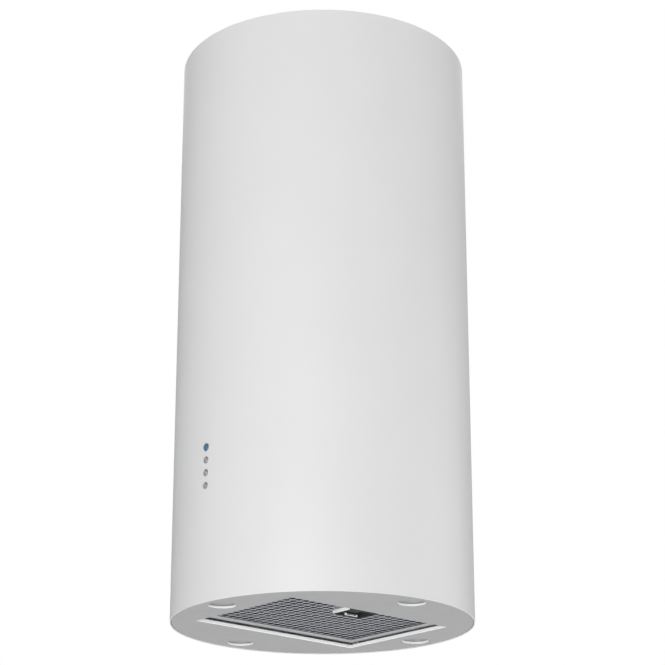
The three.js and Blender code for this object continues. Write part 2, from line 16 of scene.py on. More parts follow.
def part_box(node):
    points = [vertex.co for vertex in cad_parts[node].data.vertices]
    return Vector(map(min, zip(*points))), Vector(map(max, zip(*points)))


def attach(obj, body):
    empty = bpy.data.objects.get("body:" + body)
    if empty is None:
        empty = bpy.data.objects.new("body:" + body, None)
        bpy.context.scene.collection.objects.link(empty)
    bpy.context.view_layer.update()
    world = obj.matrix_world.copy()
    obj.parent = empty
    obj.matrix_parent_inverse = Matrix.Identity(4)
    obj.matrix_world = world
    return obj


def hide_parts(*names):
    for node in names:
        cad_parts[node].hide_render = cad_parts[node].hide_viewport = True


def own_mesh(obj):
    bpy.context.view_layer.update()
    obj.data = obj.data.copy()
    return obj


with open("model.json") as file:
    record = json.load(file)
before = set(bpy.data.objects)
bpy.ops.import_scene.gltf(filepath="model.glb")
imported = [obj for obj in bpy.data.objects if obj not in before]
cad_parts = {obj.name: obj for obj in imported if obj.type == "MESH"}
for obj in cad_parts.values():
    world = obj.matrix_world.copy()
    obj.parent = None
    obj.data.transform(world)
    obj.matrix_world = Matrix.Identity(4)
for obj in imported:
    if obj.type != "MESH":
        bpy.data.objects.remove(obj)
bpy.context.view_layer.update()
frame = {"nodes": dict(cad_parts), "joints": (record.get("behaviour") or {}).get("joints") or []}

MM = 0.001
TUBE_WALL = 1.2 * MM
SHEET = 1.0 * MM
FINE_STEPS = 256  # points round the large circles
WHEEL_STEPS = 96  # round the blower's parts
ROUND_STEPS = 64  # round the lamps, buttons and flaps
HEX_STEPS = 48  # round screw heads, nuts, the gland and small holes
PIN_STEPS = 32  # round pins, studs and countersunk screws
SHARP_ANGLE = math.radians(30)  # edges sharper than this stay sharp
LAMPS = ("front", "right", "rear", "left")
BUTTONS = ("power", "light", "speed_up", "speed_down")
LEGS = ("front_right", "rear_right", "rear_left", "front_left")
SIDES = {"front": -1, "rear": 1}  # direction along Y


def joint(name):
    return next(row for row in frame["joints"] if row["name"] == name)


def polar(radius, turn):
    return radius * math.cos(turn), radius * math.sin(turn)


def spins(count):
    """The rotations about Z that repeat something evenly round a circle."""
    return [Matrix.Rotation(math.tau * step / count, 4, "Z") for step in range(count)]


def centre_xy(node):
    low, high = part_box(node)
    return (low.x + high.x) / 2, (low.y + high.y) / 2


# ---- Mesh building


def new_object(name, bm, smooth_angle=35):
    bmesh.ops.recalc_face_normals(bm, faces=bm.faces)
    mesh = bpy.data.meshes.new(name)
    bm.to_mesh(mesh)
    bm.free()
    for polygon in mesh.polygons:
        polygon.use_smooth = True
    mesh.set_sharp_from_angle(angle=math.radians(smooth_angle))
    piece = bpy.data.objects.new(name, mesh)
    bpy.context.scene.collection.objects.link(piece)
    return piece


def add_piece(piece, body, material, replaces=(), slot=None):
    """Finishes a new piece: its material, the body it rides on and the CAD nodes it stands for."""
    piece.data.materials.clear()
    piece.data.materials.append(material)
    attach(piece, body)
    if replaces:
        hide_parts(*replaces)
    return piece


def modify(piece, kind, **values):
    modifier = piece.modifiers.new(kind.lower(), kind)
    for name, value in values.items():
        setattr(modifier, name, value)


def apply_modifiers(piece):
    graph = bpy.context.evaluated_depsgraph_get()
    done = bpy.data.meshes.new_from_object(piece.evaluated_get(graph))
    piece.modifiers.clear()
    piece.data = done


def rounded(corners, steps=4):
    """A closed outline with an arc at each corner. A corner is (x, y) or (x, y, radius)."""
    straight = 1e-3
    outline = []
    count = len(corners)
    for index, corner in enumerate(corners):
        here = Vector(corner[:2])
        radius = corner[2] if len(corner) > 2 else 0
        before = Vector(corners[index - 1][:2]) - here
        after = Vector(corners[(index + 1) % count][:2]) - here
        turn = before.angle(after, 0)
        if radius == 0 or not straight < turn < math.pi - straight:
            outline.append(here)
            continue
        reach = radius / math.tan(turn / 2)
        start = here + before.normalized() * reach
        end = here + after.normalized() * reach
        middle = (before.normalized() + after.normalized()).normalized()
        centre = here + middle * (radius / math.sin(turn / 2))
        sweep = (start - centre).angle_signed(end - centre)
        for step in range(steps + 1):
            spoke = (start - centre).copy()
            spoke.rotate(Matrix.Rotation(-sweep * step / steps, 2))
            outline.append(centre + spoke)
    return outline


def circle(radius, z, steps=FINE_STEPS, centre=(0, 0)):
    turns = [math.tau * step / steps for step in range(steps)]
    return [
        Vector((centre[0] + radius * math.cos(t), centre[1] + radius * math.sin(t), z))
        for t in turns
    ]


def rounded_rectangle(half_x, half_y, radius, z, centre=(0, 0)):
    steps = 6
    radius = max(radius, 0.05 * MM)
    loop = []
    for quarter in range(4):
        sign_x = 1 if quarter in (0, 3) else -1
        sign_y = 1 if quarter in (0, 1) else -1
        for step in range(steps + 1):
            turn = (quarter + step / steps) * math.pi / 2
            loop.append(Vector((
                centre[0] + sign_x * (half_x - radius) + radius * math.cos(turn),
                centre[1] + sign_y * (half_y - radius) + radius * math.sin(turn),
                z,
            )))
    return loop


def skin(bm, loops, ends="open", matrix=Matrix.Identity(4)):
    """Joins each loop of points to the next with faces. The ends are open, capped or joined."""
    rings = [[bm.verts.new(matrix @ point) for point in loop] for loop in loops]
    for low, high in zip(rings, rings[1:] + (rings[:1] if ends == "joined" else [])):
        for index in range(len(low)):
            following = (index + 1) % len(low)
            bm.faces.new((low[index], low[following], high[following], high[index]))
    if ends == "capped":
        bm.faces.new(rings[0][::-1])
        bm.faces.new(rings[-1])
    return rings


def fill(bm, rings):
    """Fills the flat region inside the first ring of vertices and outside the others."""
    verts = [vert for ring in rings for vert in ring]
    flat = [vert.co.xy for vert in verts]
    borders = []
    start = 0
    for ring in rings:
        borders.append(list(range(start, start + len(ring))))
        start += len(ring)
    found = geometry.delaunay_2d_cdt(flat, [], borders, 2, 1e-9)
    triangles, origins = found[2], found[3]
    for triangle in triangles:
        corners = [verts[origins[index][0]] for index in triangle]
        centre = sum((c.co.xy for c in corners), Vector((0, 0))) / 3
        if any(inside(centre, [flat[i] for i in border]) for border in borders[1:]):
            continue
        bm.faces.new(corners)


def inside(point, polygon):
    odd = False
    previous = polygon[-1]
    for current in polygon:
        if (current.y > point.y) != (previous.y > point.y):
            share = (point.y - current.y) / (previous.y - current.y)
            if point.x < current.x + share * (previous.x - current.x):
                odd = not odd
        previous = current
    return odd


def turned(bm, outline, steps=ROUND_STEPS, matrix=Matrix.Identity(4)):
    """Turns a closed (radius, height) outline about Z, then moves it by the matrix."""
    touching = 1e-7
    rings = []
    for radius, height in outline:
        if radius < touching:
            rings.append([bm.verts.new(matrix @ Vector((0, 0, height)))])
        else:
            rings.append([bm.verts.new(matrix @ p) for p in circle(radius, height, steps)])
    for low, high in zip(rings, rings[1:] + rings[:1]):
        for index in range(steps):
            following = (index + 1) % steps
            corners = [low[index % len(low)], low[following % len(low)],
                       high[following % len(high)], high[index % len(high)]]
            corners = list(dict.fromkeys(corners))
            if len(corners) > 2:
                bm.faces.new(corners)


def turned_piece(name, outline, steps, matrix, *details):
    """A piece turned from one outline; the details are add_piece's, from the body on."""
    bm = bmesh.new()
    turned(bm, outline, steps, matrix)
    return add_piece(new_object(name, bm), *details)


def block(bm, low, high, matrix=Matrix.Identity(4)):
    size = Vector(high) - Vector(low)
    place = matrix @ Matrix.Translation((Vector(low) + Vector(high)) / 2)
    bmesh.ops.create_cube(bm, size=1, matrix=place @ Matrix.Diagonal((*size, 1)))


def prism(bm, outline, low, high, matrix=Matrix.Identity(4)):
    """A closed outline in X and Y, from z = low to z = high, moved by the matrix."""
    loops = [[Vector((x, y, z)) for x, y in outline] for z in (low, high)]
    skin(bm, loops, "capped", matrix)


def bevel(piece, width, segments=2):
    modify(piece, "BEVEL", width=width, segments=segments, limit_method="ANGLE",
           angle_limit=SHARP_ANGLE, harden_normals=True)


def cut(piece, cutter_bm):
    """Cuts closed bodies out of a piece."""
    cutter = new_object("cutter", cutter_bm)
    modify(piece, "BOOLEAN", operation="DIFFERENCE", solver="EXACT", object=cutter)
    apply_modifiers(piece)
    bpy.data.objects.remove(cutter)


ALONG_Y = Matrix.Rotation(math.radians(-90), 4, "X")
ALONG_X = Matrix.Rotation(math.radians(90), 4, "Y")


# ---- Materials


def new_node(tree, kind, **values):
    """A node of the kind, with the values on its own sockets."""
    node = tree.nodes.new(f"ShaderNode{kind}")
    for name, value in values.items():
        node.inputs[name].default_value = value
    return node


class Finish:
    """A material under construction: shorthand for its nodes and links."""

    def __init__(self, name):
        self.material = bpy.data.materials.new(name)
        self.material.use_nodes = True
        self.tree = self.material.node_tree
        self.links = self.tree.links
        self.shader = self.tree.nodes["Principled BSDF"]
        self.place = new_node(self.tree, "TexCoord").outputs["Object"]

    def set(self, **values):
        for name, value in values.items():
            self.shader.inputs[name.replace("_", " ")].default_value = value
        return self

    def stretched(self, scale):
        mapping = new_node(self.tree, "Mapping", Scale=scale)
        self.links.new(self.place, mapping.inputs["Vector"])
        return mapping.outputs["Vector"]

    def noise(self, scale, detail=3, roughness=0.5, vector=None):
        node = new_node(self.tree, "TexNoise", Scale=scale, Detail=detail, Roughness=roughness)
        self.links.new(vector or self.place, node.inputs["Vector"])
        return node.outputs["Fac"]

    def cells(self, scale, feature="F1"):
        node = new_node(self.tree, "TexVoronoi", Scale=scale)
        node.feature = feature
        self.links.new(self.place, node.inputs["Vector"])
        return node

    def spread(self):
        """Distance from the object's axis, over ten metres."""
        node = new_node(self.tree, "TexGradient")
        node.gradient_type = "SPHERICAL"
        self.links.new(self.stretched((0.1, 0.1, 0.1)), node.inputs["Vector"])
        away = new_node(self.tree, "Math")
        away.operation = "SUBTRACT"
        away.inputs[0].default_value = 1
        self.links.new(node.outputs["Fac"], away.inputs[1])
        return away.outputs["Value"]

    def ramp(self, value, low, high, start=0.3, end=0.7):
        """Maps a value from start..end to colours or greys low..high."""
        node = new_node(self.tree, "ValToRGB")
        for stop, position, colour in zip(node.color_ramp.elements, (start, end), (low, high)):
            grey = (colour, colour, colour) if isinstance(colour, float) else colour
            stop.position = position
            stop.color = (*grey, 1)
        self.links.new(value, node.inputs["Fac"])
        return node.outputs["Color"]

    def colour(self, output):
        self.links.new(output, self.shader.inputs["Base Color"])
        return self

    def roughness(self, output):
        self.links.new(output, self.shader.inputs["Roughness"])
        return self

    def bump(self, height, depth, strength=1.0):
        """Adds a bump; several are chained, each on top of the last."""
        node = new_node(self.tree, "Bump", Strength=strength, Distance=depth)
        self.links.new(height, node.inputs["Height"])
        normal = self.shader.inputs["Normal"]
        if normal.is_linked:
            self.links.new(normal.links[0].from_socket, node.inputs["Normal"])
        self.links.new(node.outputs["Normal"], normal)
        return self


def powder_coat(name, light, dark, roughness):
    """Satin powder coat: fine orange peel under a slightly uneven gloss."""
    finish = Finish(name)
    finish.colour(finish.ramp(finish.noise(9, 4), dark, light))
    finish.roughness(finish.ramp(finish.noise(60, 4), roughness - 0.04, roughness + 0.05))
    finish.bump(finish.noise(700, 2, 0.4), 0.05 * MM, 0.35)
    finish.bump(finish.noise(2600, 2), 0.012 * MM, 0.4)
    finish.set(Coat_Weight=0.12, Coat_Roughness=0.3)
    return finish.material


def moulded_plastic(name, light, dark, roughness=0.5):
    """Moulded plastic with a spark-eroded grain."""
    finish = Finish(name)
    finish.colour(finish.ramp(finish.noise(40, 3), dark, light))
    finish.roughness(finish.ramp(finish.noise(300, 3), roughness - 0.06, roughness + 0.08))
    finish.bump(finish.cells(1600).outputs["Distance"], 0.03 * MM, 0.3)
    return finish.material


def brushed_metal(name, light, dark, roughness, grain=(6, 900, 900)):
    """Metal with fine drawn lines across the grain's two short directions."""
    finish = Finish(name)
    lines = finish.noise(1.0, 4, 0.6, finish.stretched(grain))
    finish.colour(finish.ramp(finish.noise(30, 3), dark, light))
    finish.roughness(finish.ramp(lines, roughness - 0.08, roughness + 0.1))
    finish.bump(lines, 0.01 * MM, 0.35)
    finish.set(Metallic=1.0)
    return finish.material


def galvanised_sheet(name):
    """Zinc-coated sheet with a pattern of crystals."""
    finish = Finish(name)
    crystals = finish.cells(110)
    finish.colour(finish.ramp(crystals.outputs["Color"], (0.55, 0.57, 0.59), (0.65, 0.67, 0.69)))
    finish.roughness(finish.ramp(crystals.outputs["Color"], 0.38, 0.48))
    finish.bump(finish.noise(400, 3), 0.01 * MM, 0.3)
    finish.set(Metallic=0.9)
    return finish.material


def mesh_metal(name, light, dark, roughness):
    """Rolled aluminium foil strands, a little uneven from cutting and handling."""
    finish = Finish(name)
    finish.colour(finish.ramp(finish.noise(160, 4), dark, light))
    finish.roughness(finish.ramp(finish.noise(500, 3), roughness - 0.08, roughness + 0.12))
    finish.bump(finish.noise(900, 3), 0.05 * MM, 0.4)
    finish.set(Metallic=1.0)
    return finish.material


def frosted_lens_with_painted_shade(name):
    """Frosted diffuser: milky, with fine prisms pressed into it. Its grey is partly its own and partly
    a painted shade from the ring round it.
    """
    finish = Finish(name)
    finish.colour(finish.ramp(finish.noise(80, 2), (0.25, 0.255, 0.26), (0.3, 0.305, 0.31)))
    finish.bump(finish.cells(900).outputs["Distance"], 0.06 * MM, 0.5)
    finish.set(Roughness=0.3, Transmission_Weight=0.15, IOR=1.49, Coat_Weight=0.3)
    return finish.material


def lit_blue(name):
    finish = Finish(name)
    finish.colour(finish.ramp(finish.noise(300, 2), (0.06, 0.12, 0.2), (0.1, 0.17, 0.27)))
    finish.set(Roughness=0.35, Emission_Color=(0.12, 0.35, 0.75, 1), Emission_Strength=0.1)
    return finish.material


def circuit_board(name):
    finish = Finish(name)
    tracks = finish.cells(500, "DISTANCE_TO_EDGE").outputs["Distance"]
    finish.colour(finish.ramp(tracks, (0.05, 0.2, 0.1), (0.02, 0.12, 0.06), 0.02, 0.05))
    finish.bump(tracks, 0.03 * MM, 0.4)
    finish.set(Roughness=0.4, Coat_Weight=0.4)
    return finish.material


WHITE = powder_coat("white_powder_coat", (0.81, 0.81, 0.812), (0.795, 0.795, 0.797), 0.4)
# The panel's white paint in two copies: a darker one, a painted shade for faces that look down, and a
# brighter one, a painted highlight for the walls round the opening and the lamp rings.
PANEL_WHITE_PAINTED_SHADE = powder_coat("panel_powder_coat_painted_shade", (0.395, 0.395, 0.403), (0.38, 0.38, 0.388), 0.62)
EDGE_WHITE_PAINTED_HIGHLIGHT = powder_coat("edge_powder_coat_painted_highlight", (0.96, 0.96, 0.96), (0.945, 0.945, 0.945), 0.3)
BLACK_PLASTIC = moulded_plastic("black_plastic", (0.035, 0.036, 0.038), (0.022, 0.022, 0.024))
GREY_PLASTIC = moulded_plastic("grey_plastic", (0.42, 0.43, 0.44), (0.36, 0.37, 0.38))
LIGHT_PLASTIC = moulded_plastic("light_plastic", (0.8, 0.8, 0.8), (0.74, 0.745, 0.75), 0.4)
FRAME_ALUMINIUM = brushed_metal("frame_aluminium", (0.6, 0.605, 0.61), (0.52, 0.525, 0.53), 0.42)
HEAT_SINK = brushed_metal("heat_sink_aluminium", (0.8, 0.8, 0.81), (0.7, 0.7, 0.71), 0.35)
BRIGHT_STEEL = brushed_metal("bright_steel", (0.75, 0.75, 0.76), (0.62, 0.62, 0.63), 0.3)
BUTTON_STEEL = brushed_metal("button_steel", (0.5, 0.5, 0.51), (0.42, 0.42, 0.43), 0.45, (900, 6, 900))
GALVANISED = galvanised_sheet("galvanised_sheet")
FRONT_MESH = mesh_metal("front_mesh_aluminium", (0.49, 0.5, 0.54), (0.32, 0.33, 0.36), 0.4)
# A near-black copy of the filter's aluminium for the layers behind the front one: painted shade deep in
# the filter.
INNER_MESH_PAINTED_SHADE = mesh_metal("inner_mesh_aluminium_painted_shade", (0.07, 0.07, 0.074), (0.04, 0.04, 0.043), 0.6)
LACQUER = powder_coat("light_lacquer", (0.93, 0.93, 0.935), (0.9, 0.9, 0.905), 0.35)
BUTTON_CAP = brushed_metal("button_cap_metal", (0.8, 0.8, 0.81), (0.72, 0.72, 0.73), 0.5, (900, 6, 900))
LENS = frosted_lens_with_painted_shade("frosted_lens_with_painted_shade")
BLUE = lit_blue("lit_blue_plastic")
BOARD = circuit_board("circuit_board")


# ---- Outer tube

TUBE_LOW, TUBE_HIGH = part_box("outer_tube")
TUBE_RADIUS = TUBE_HIGH.x


def set_tube_normals(piece, bore):
    """Shades the two walls as true cylinders, whatever the cuts did to their faces."""
    near = 0.1 * MM
    mesh = piece.data
    normals = []
    for polygon in mesh.polygons:
        for index in polygon.loop_indices:
            point = mesh.vertices[mesh.loops[index].vertex_index].co
            spoke = Vector((point.x, point.y, 0)).normalized()
            facing = polygon.normal.dot(spoke)
            if facing > 0.9 and abs(point.xy.length - TUBE_RADIUS) < near:
                normals.append(spoke)
            elif facing < -0.9 and abs(point.xy.length - bore) < near:
                normals.append(-spoke)
            else:
                normals.append(polygon.normal.copy())
    mesh.normals_split_custom_set(normals)


def build_tube():
    bore = TUBE_RADIUS - TUBE_WALL
    edge = 0.35 * MM
    low, high = TUBE_LOW.z, TUBE_HIGH.z
    section = rounded([
        (TUBE_RADIUS, low, edge), (TUBE_RADIUS, high, edge), (bore, high, edge), (bore, low, edge)])
    bm = bmesh.new()
    turned(bm, section, FINE_STEPS)
    piece = new_object("tube", bm)
    holes = bmesh.new()
    for name in BUTTONS:
        low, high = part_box(f"{name}_button_bezel")
        radius = (high.x - low.x) / 2 + 0.3 * MM
        place = Matrix.Translation((0, -TUBE_RADIUS, (low.z + high.z) / 2)) @ ALONG_Y
        reach = 5 * MM
        outline = [(0, -reach), (radius, -reach), (radius, reach), (0, reach)]
        turned(holes, outline, HEX_STEPS, place)
    cut(piece, holes)
    set_tube_normals(piece, bore)
    add_piece(piece, "root", WHITE, ["outer_tube"], "white_paint")


# ---- Bottom panel: one folded sheet with an upturned rim and a short flange round the opening

PANEL_LOW, PANEL_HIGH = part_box("bottom_panel")
PANEL_TOP = PANEL_LOW.z + SHEET
OPENING_X = 92 * MM
OPENING_Y = 132 * MM
OPENING_FLANGE = 4.5 * MM
LAMP_HOLE = 19 * MM
PANEL_NUTS = [f"panel_nut_{index}" for index in range(1, 5)]


def lamp_place(name):
    return Vector(centre_xy(f"lamp_trim_{name}"))


def fold(edge, wall, top, base, outer_bend, inner_bend, inwards):
    """Section of a sheet's turned-up edge, as (distance, height) from its underside to its top.

    edge is where the turned-up wall stands, and inwards is the direction from it to the sheet."""
    return rounded([
        (edge + inwards * 2 * outer_bend, base), (edge, base, outer_bend), (edge, top, 0.3 * MM),
        (edge + inwards * wall, top, 0.3 * MM), (edge + inwards * wall, base + wall, inner_bend),
        (edge + inwards * 2 * outer_bend, base + wall)], 5)


def build_panel():
    bm = bmesh.new()
    low = PANEL_LOW.z
    radius = PANEL_HIGH.x
    rim = fold(radius, SHEET, PANEL_HIGH.z, low, 1.3 * MM, 0.5 * MM, -1)
    edges = [skin(bm, [circle(r, z) for r, z in rim])]
    flange = fold(0, SHEET, low + OPENING_FLANGE, low, 1.1 * MM, 0.4 * MM, 1)
    corner = 1.2 * MM
    edges.append(skin(bm, [
        rounded_rectangle(OPENING_X + d, OPENING_Y + d, corner + d, z) for d, z in flange]))
    for name in LAMPS:
        centre = lamp_place(name)
        around = LAMP_HOLE + 1 * MM
        section = rounded([
            (around, low), (LAMP_HOLE, low, 0.35 * MM), (LAMP_HOLE, PANEL_TOP), (around, PANEL_TOP)])
        edges.append(skin(bm, [circle(r, z, ROUND_STEPS, centre) for r, z in section]))
    fill(bm, [rings[0] for rings in edges])
    fill(bm, [rings[-1] for rings in edges])
    piece = new_object("panel", bm, 25)
    modify(piece, "WEIGHTED_NORMAL", keep_sharp=True)
    add_piece(piece, "root", PANEL_WHITE_PAINTED_SHADE, ["bottom_panel"], "panel_paint")
    # The underside keeps the darker copy of the paint, a painted shade; the opening's upturned walls
    # take the brighter copy, a painted highlight.
    piece.data.materials.append(EDGE_WHITE_PAINTED_HIGHLIGHT)
    beyond = 0.6 * MM
    for polygon in piece.data.polygons:
        x, y, z = polygon.center
        in_opening = abs(x) < OPENING_X + beyond and abs(y) < OPENING_Y + beyond
        if in_opening and z > low + 0.2 * MM:
            polygon.material_index = 1


def build_panel_studs():
    """Threaded studs that the casing is nutted to."""
    stud = 2 * MM
    pitch = 0.5 * MM
    turns = 12
    tip = 6.9 * MM
    outline = [(0, -0.2 * MM), (stud, -0.2 * MM)]
    for turn in range(turns):
        outline += [(stud, turn * pitch + 0.1 * MM), (stud - 0.25 * MM, (turn + 0.5) * pitch)]
    outline += [(stud - 0.4 * MM, tip), (0, tip)]
    bm = bmesh.new()
    for nut in PANEL_NUTS:
        turned(bm, outline, PIN_STEPS, Matrix.Translation((*centre_xy(nut), PANEL_TOP)))
    add_piece(new_object("panel_studs", bm), "root", BRIGHT_STEEL, slot="plain_steel")


def build_pin_cradles():
    """Ears on the panel that carry the filter's hinge pins."""
    bm = bmesh.new()
    pin_x, pin_z = filter_pin()
    half = 5 * MM
    notch = 1.8 * MM
    top = pin_z + 3 * MM
    foot = PANEL_TOP - 0.2 * MM
    steps = 8
    outline = [(-half, foot), (half, foot), (half, top), (notch, top)]
    for step in range(steps + 1):
        turn = -math.pi * step / steps
        outline.append((notch * math.cos(turn), pin_z + notch * math.sin(turn)))
    outline += [(-notch, top), (-half, top)]
    for side in (-1, 1):
        y = side * (OPENING_Y + 2 * MM)
        stand = Matrix.Translation((pin_x, y, 0)) @ Matrix.Rotation(math.radians(90), 4, "X")
        prism(bm, outline, *sorted((0, -side * 1.5 * MM)), stand)
    ears = new_object("pin_cradles", bm)
    bevel(ears, 0.3 * MM)
    add_piece(ears, "root", PANEL_WHITE_PAINTED_SHADE, slot="panel_paint")


# ---- Lamps


def build_lamp(name):
    x, y = lamp_place(name)
    place = Matrix.Translation((x, y, 0))
    sleeve = LAMP_HOLE - 0.3 * MM
    aperture = sleeve - 0.8 * MM
    edge = 0.25 * MM
    build_lamp_ring(name, place, sleeve, aperture, edge)
    build_lamp_lens(name, place, aperture, edge)
    build_lamp_heat_sink(name, place, edge)


def build_lamp_ring(name, place, sleeve, aperture, edge):
    """A flanged sleeve, greyer on its underside as painted shade so that it matches the panel; its
    other faces carry the painted highlight of the panel's walls.
    """
    low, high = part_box(f"lamp_trim_{name}")
    flange = (high.x - low.x) / 2
    seat = PANEL_TOP + 0.3 * MM
    outline = rounded([
        (aperture, low.z, edge), (sleeve, low.z, edge), (sleeve, seat),
        (flange, seat, edge), (flange, high.z, edge), (aperture, high.z, edge)])
    trim = turned_piece(f"lamp_ring_{name}", outline, ROUND_STEPS, place,
                        "root", EDGE_WHITE_PAINTED_HIGHLIGHT, [f"lamp_trim_{name}"], "white_paint")
    trim.data.materials.append(PANEL_WHITE_PAINTED_SHADE)
    # Faces that look down get the darker copy of the paint: painted shade.
    for polygon in trim.data.polygons:
        if polygon.normal.z < -0.5:
            polygon.material_index = 1


def build_lamp_lens(name, place, aperture, edge):
    """A disc with a shallow dish in its underside."""
    low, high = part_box(f"lamp_lens_{name}")
    radius = (high.x - low.x) / 2
    dish = low.z + 0.25 * MM
    outline = rounded([
        (0, dish), (aperture - 3 * MM, dish), (aperture - 1.5 * MM, low.z, 0.5 * MM),
        (radius, low.z, edge), (radius, high.z, edge), (0, high.z)])
    turned_piece(f"lamp_diffuser_{name}", outline, ROUND_STEPS, place,
                 "root", LENS, [f"lamp_lens_{name}"], "lamp_lens")


def build_lamp_heat_sink(name, place, edge):
    """A core with round fins."""
    low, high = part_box(f"lamp_body_{name}")
    radius = (high.x - low.x) / 2
    core = 9 * MM
    base = 3 * MM
    fins = 5
    pitch = (high.z - low.z - base) / fins
    bend = 0.3 * MM
    outline = [(0, low.z), (radius, low.z, edge)]
    for fin in range(fins):
        z = low.z + base + fin * pitch
        outline += [(radius, z, bend), (core, z, bend)]
        outline += [(core, z + pitch / 2, bend), (radius, z + pitch / 2, bend)]
    outline += [(radius, high.z, edge), (0, high.z)]
    turned_piece(f"lamp_heat_sink_{name}", rounded(outline, 2), ROUND_STEPS, place,
                 "root", HEAT_SINK, [f"lamp_body_{name}"], "heat_sink")


# ---- Grease filter

FILTER_HALF_Y = 130 * MM
FILTER_STRIP = 11.5 * MM
FILTER_SHEET = 0.8 * MM
FILTER_HEM = 1.7 * MM  # depth of the lip folded up along the strip's inner edge
LATCH_HALF_WIDTH = 8 * MM
LATCH_PLATE = 1.5 * MM
HANDLE_LOW, HANDLE_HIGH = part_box("filter_handle_cup")
HANDLE_Y = (HANDLE_LOW.y + HANDLE_HIGH.y) / 2


def filter_pin():
    """X and Z of the filter's hinge."""
    place = joint("filter_tilt")["pos_m"]
    return place[0], place[2]


def latch_slot():
    """A block where the latch's sliding plate passes out of the handle and the frame."""
    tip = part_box("filter_latch")[1]
    clear = 0.3 * MM
    half = LATCH_HALF_WIDTH + clear
    bm = bmesh.new()
    block(bm, (tip.x - 22 * MM, HANDLE_Y - half, tip.z - LATCH_PLATE - clear),
          (tip.x, HANDLE_Y + half, tip.z + clear))
    return bm


def build_filter_frame():
    """Four folded strips of channel section, mitred at the corners."""
    low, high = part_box("filter_frame")
    half_x = high.x
    half_y = FILTER_HALF_Y
    strip, wall = FILTER_STRIP, FILTER_SHEET
    bend = 0.7 * MM
    hem = 0.35 * MM
    inner = 0.2 * MM
    section = rounded([
        (-strip, low.z, hem), (0, low.z, bend), (0, high.z, bend), (-strip, high.z, hem),
        (-strip, high.z - wall, hem), (-wall, high.z - wall, inner), (-wall, low.z + wall, inner),
        (-strip + wall, low.z + wall, inner), (-strip + wall, low.z + FILTER_HEM, inner),
        (-strip, low.z + FILTER_HEM, inner)], 3)
    gap = 0.08 * MM
    bm = bmesh.new()
    for quarter, spin in enumerate(spins(4)):
        along, across = (half_x, half_y) if quarter % 2 else (half_y, half_x)
        skin(bm, [
            [Vector((across + d, side * (along + d - gap), z)) for d, z in section]
            for side in (-1, 1)], "capped", spin)
    piece = new_object("filter_channel", bm)
    cut(piece, latch_slot())
    add_piece(piece, "filter", FRAME_ALUMINIUM, ["filter_frame"], "filter_aluminium")


def build_filter_pins():
    pin_x, pin_z = filter_pin()
    radius = 1.5 * MM
    root = FILTER_HALF_Y - 1 * MM
    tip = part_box("filter_frame")[1].y
    outline = rounded([(0, root), (radius, root), (radius, tip, 0.4 * MM), (0, tip)])
    bm = bmesh.new()
    for turn in (math.pi, 0):
        spin = Matrix.Rotation(turn, 4, "Z")
        turned(bm, outline, PIN_STEPS, Matrix.Translation((pin_x, 0, pin_z)) @ spin @ ALONG_Y)
    add_piece(new_object("filter_hinge_pins", bm), "filter", BRIGHT_STEEL, slot="plain_steel")


def expanded_sheet(half_x, half_y, cells_x, cells_y, hole, dip, points, rings, skipped):
    """A sheet of square cells with round holes, its strands dipping away between the knots.

    hole is the hole's share of the cell, dip the strands' rise in metres, points the points
    round each hole, rings the bands of faces beside it and skipped the region left out, as a
    function of a cell's centre."""
    step_x, step_y = 2 * half_x / cells_x, 2 * half_y / cells_y
    per_side = points // 4
    border = []
    for side in range(4):
        for step in range(per_side):
            share = step / per_side * 2 - 1
            border.append(((share, -1), (1, share), (-share, 1), (-1, -share))[side])
    border = np.array(border)
    rim = hole * border / np.linalg.norm(border, axis=1, keepdims=True)
    bands = [border + (rim - border) * ring / rings for ring in range(rings + 1)]
    cell = np.concatenate(bands) / 2
    faces = []
    for ring in range(rings):
        for index in range(points):
            following = (index + 1) % points
            low, high = ring * points, (ring + 1) * points
            faces.append((low + index, low + following, high + following, high + index))
    faces = np.array(faces)
    all_points, all_faces = [], []
    for column in range(cells_x):
        for row in range(cells_y):
            centre = np.array((column + 0.5, row + 0.5))
            x, y = centre[0] * step_x - half_x, centre[1] * step_y - half_y
            if skipped(x, y):
                continue
            spots = cell + centre
            waves = np.cos(math.tau * spots).sum(axis=1) / 2
            heights = dip * (1 - waves) / 2
            all_faces.append(faces + len(all_points) * len(cell))
            all_points.append(np.column_stack((
                spots[:, 0] * step_x - half_x, spots[:, 1] * step_y - half_y, heights)))
    return np.concatenate(all_points), np.concatenate(all_faces)


def build_filter_layer(name, material, cells_x, cells_y, hole, dip, detail, flip, thickness):
    node = f"filter_{name}_mesh"
    low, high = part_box(node)
    margin = 1 * MM

    def over_handle(x, y):
        return x > HANDLE_LOW.x - margin and HANDLE_LOW.y - margin < y < HANDLE_HIGH.y + margin

    points, faces = expanded_sheet(
        high.x, high.y, cells_x, cells_y, hole, dip, *detail, over_handle)
    middle = (low.z + high.z) / 2 + 0.4 * MM
    points[:, 2] = middle + (-points[:, 2] if flip else points[:, 2])
    mesh = bpy.data.meshes.new(node)
    mesh.from_pydata(points.tolist(), [], faces.tolist())
    bm = bmesh.new()
    bm.from_mesh(mesh)
    bmesh.ops.remove_doubles(bm, verts=bm.verts, dist=0.02 * MM)
    piece = new_object(f"filter_{name}_layer", bm, 60)
    modify(piece, "SOLIDIFY", thickness=thickness, offset=0)
    apply_modifiers(piece)
    add_piece(piece, "filter", material, [node], "filter_mesh")


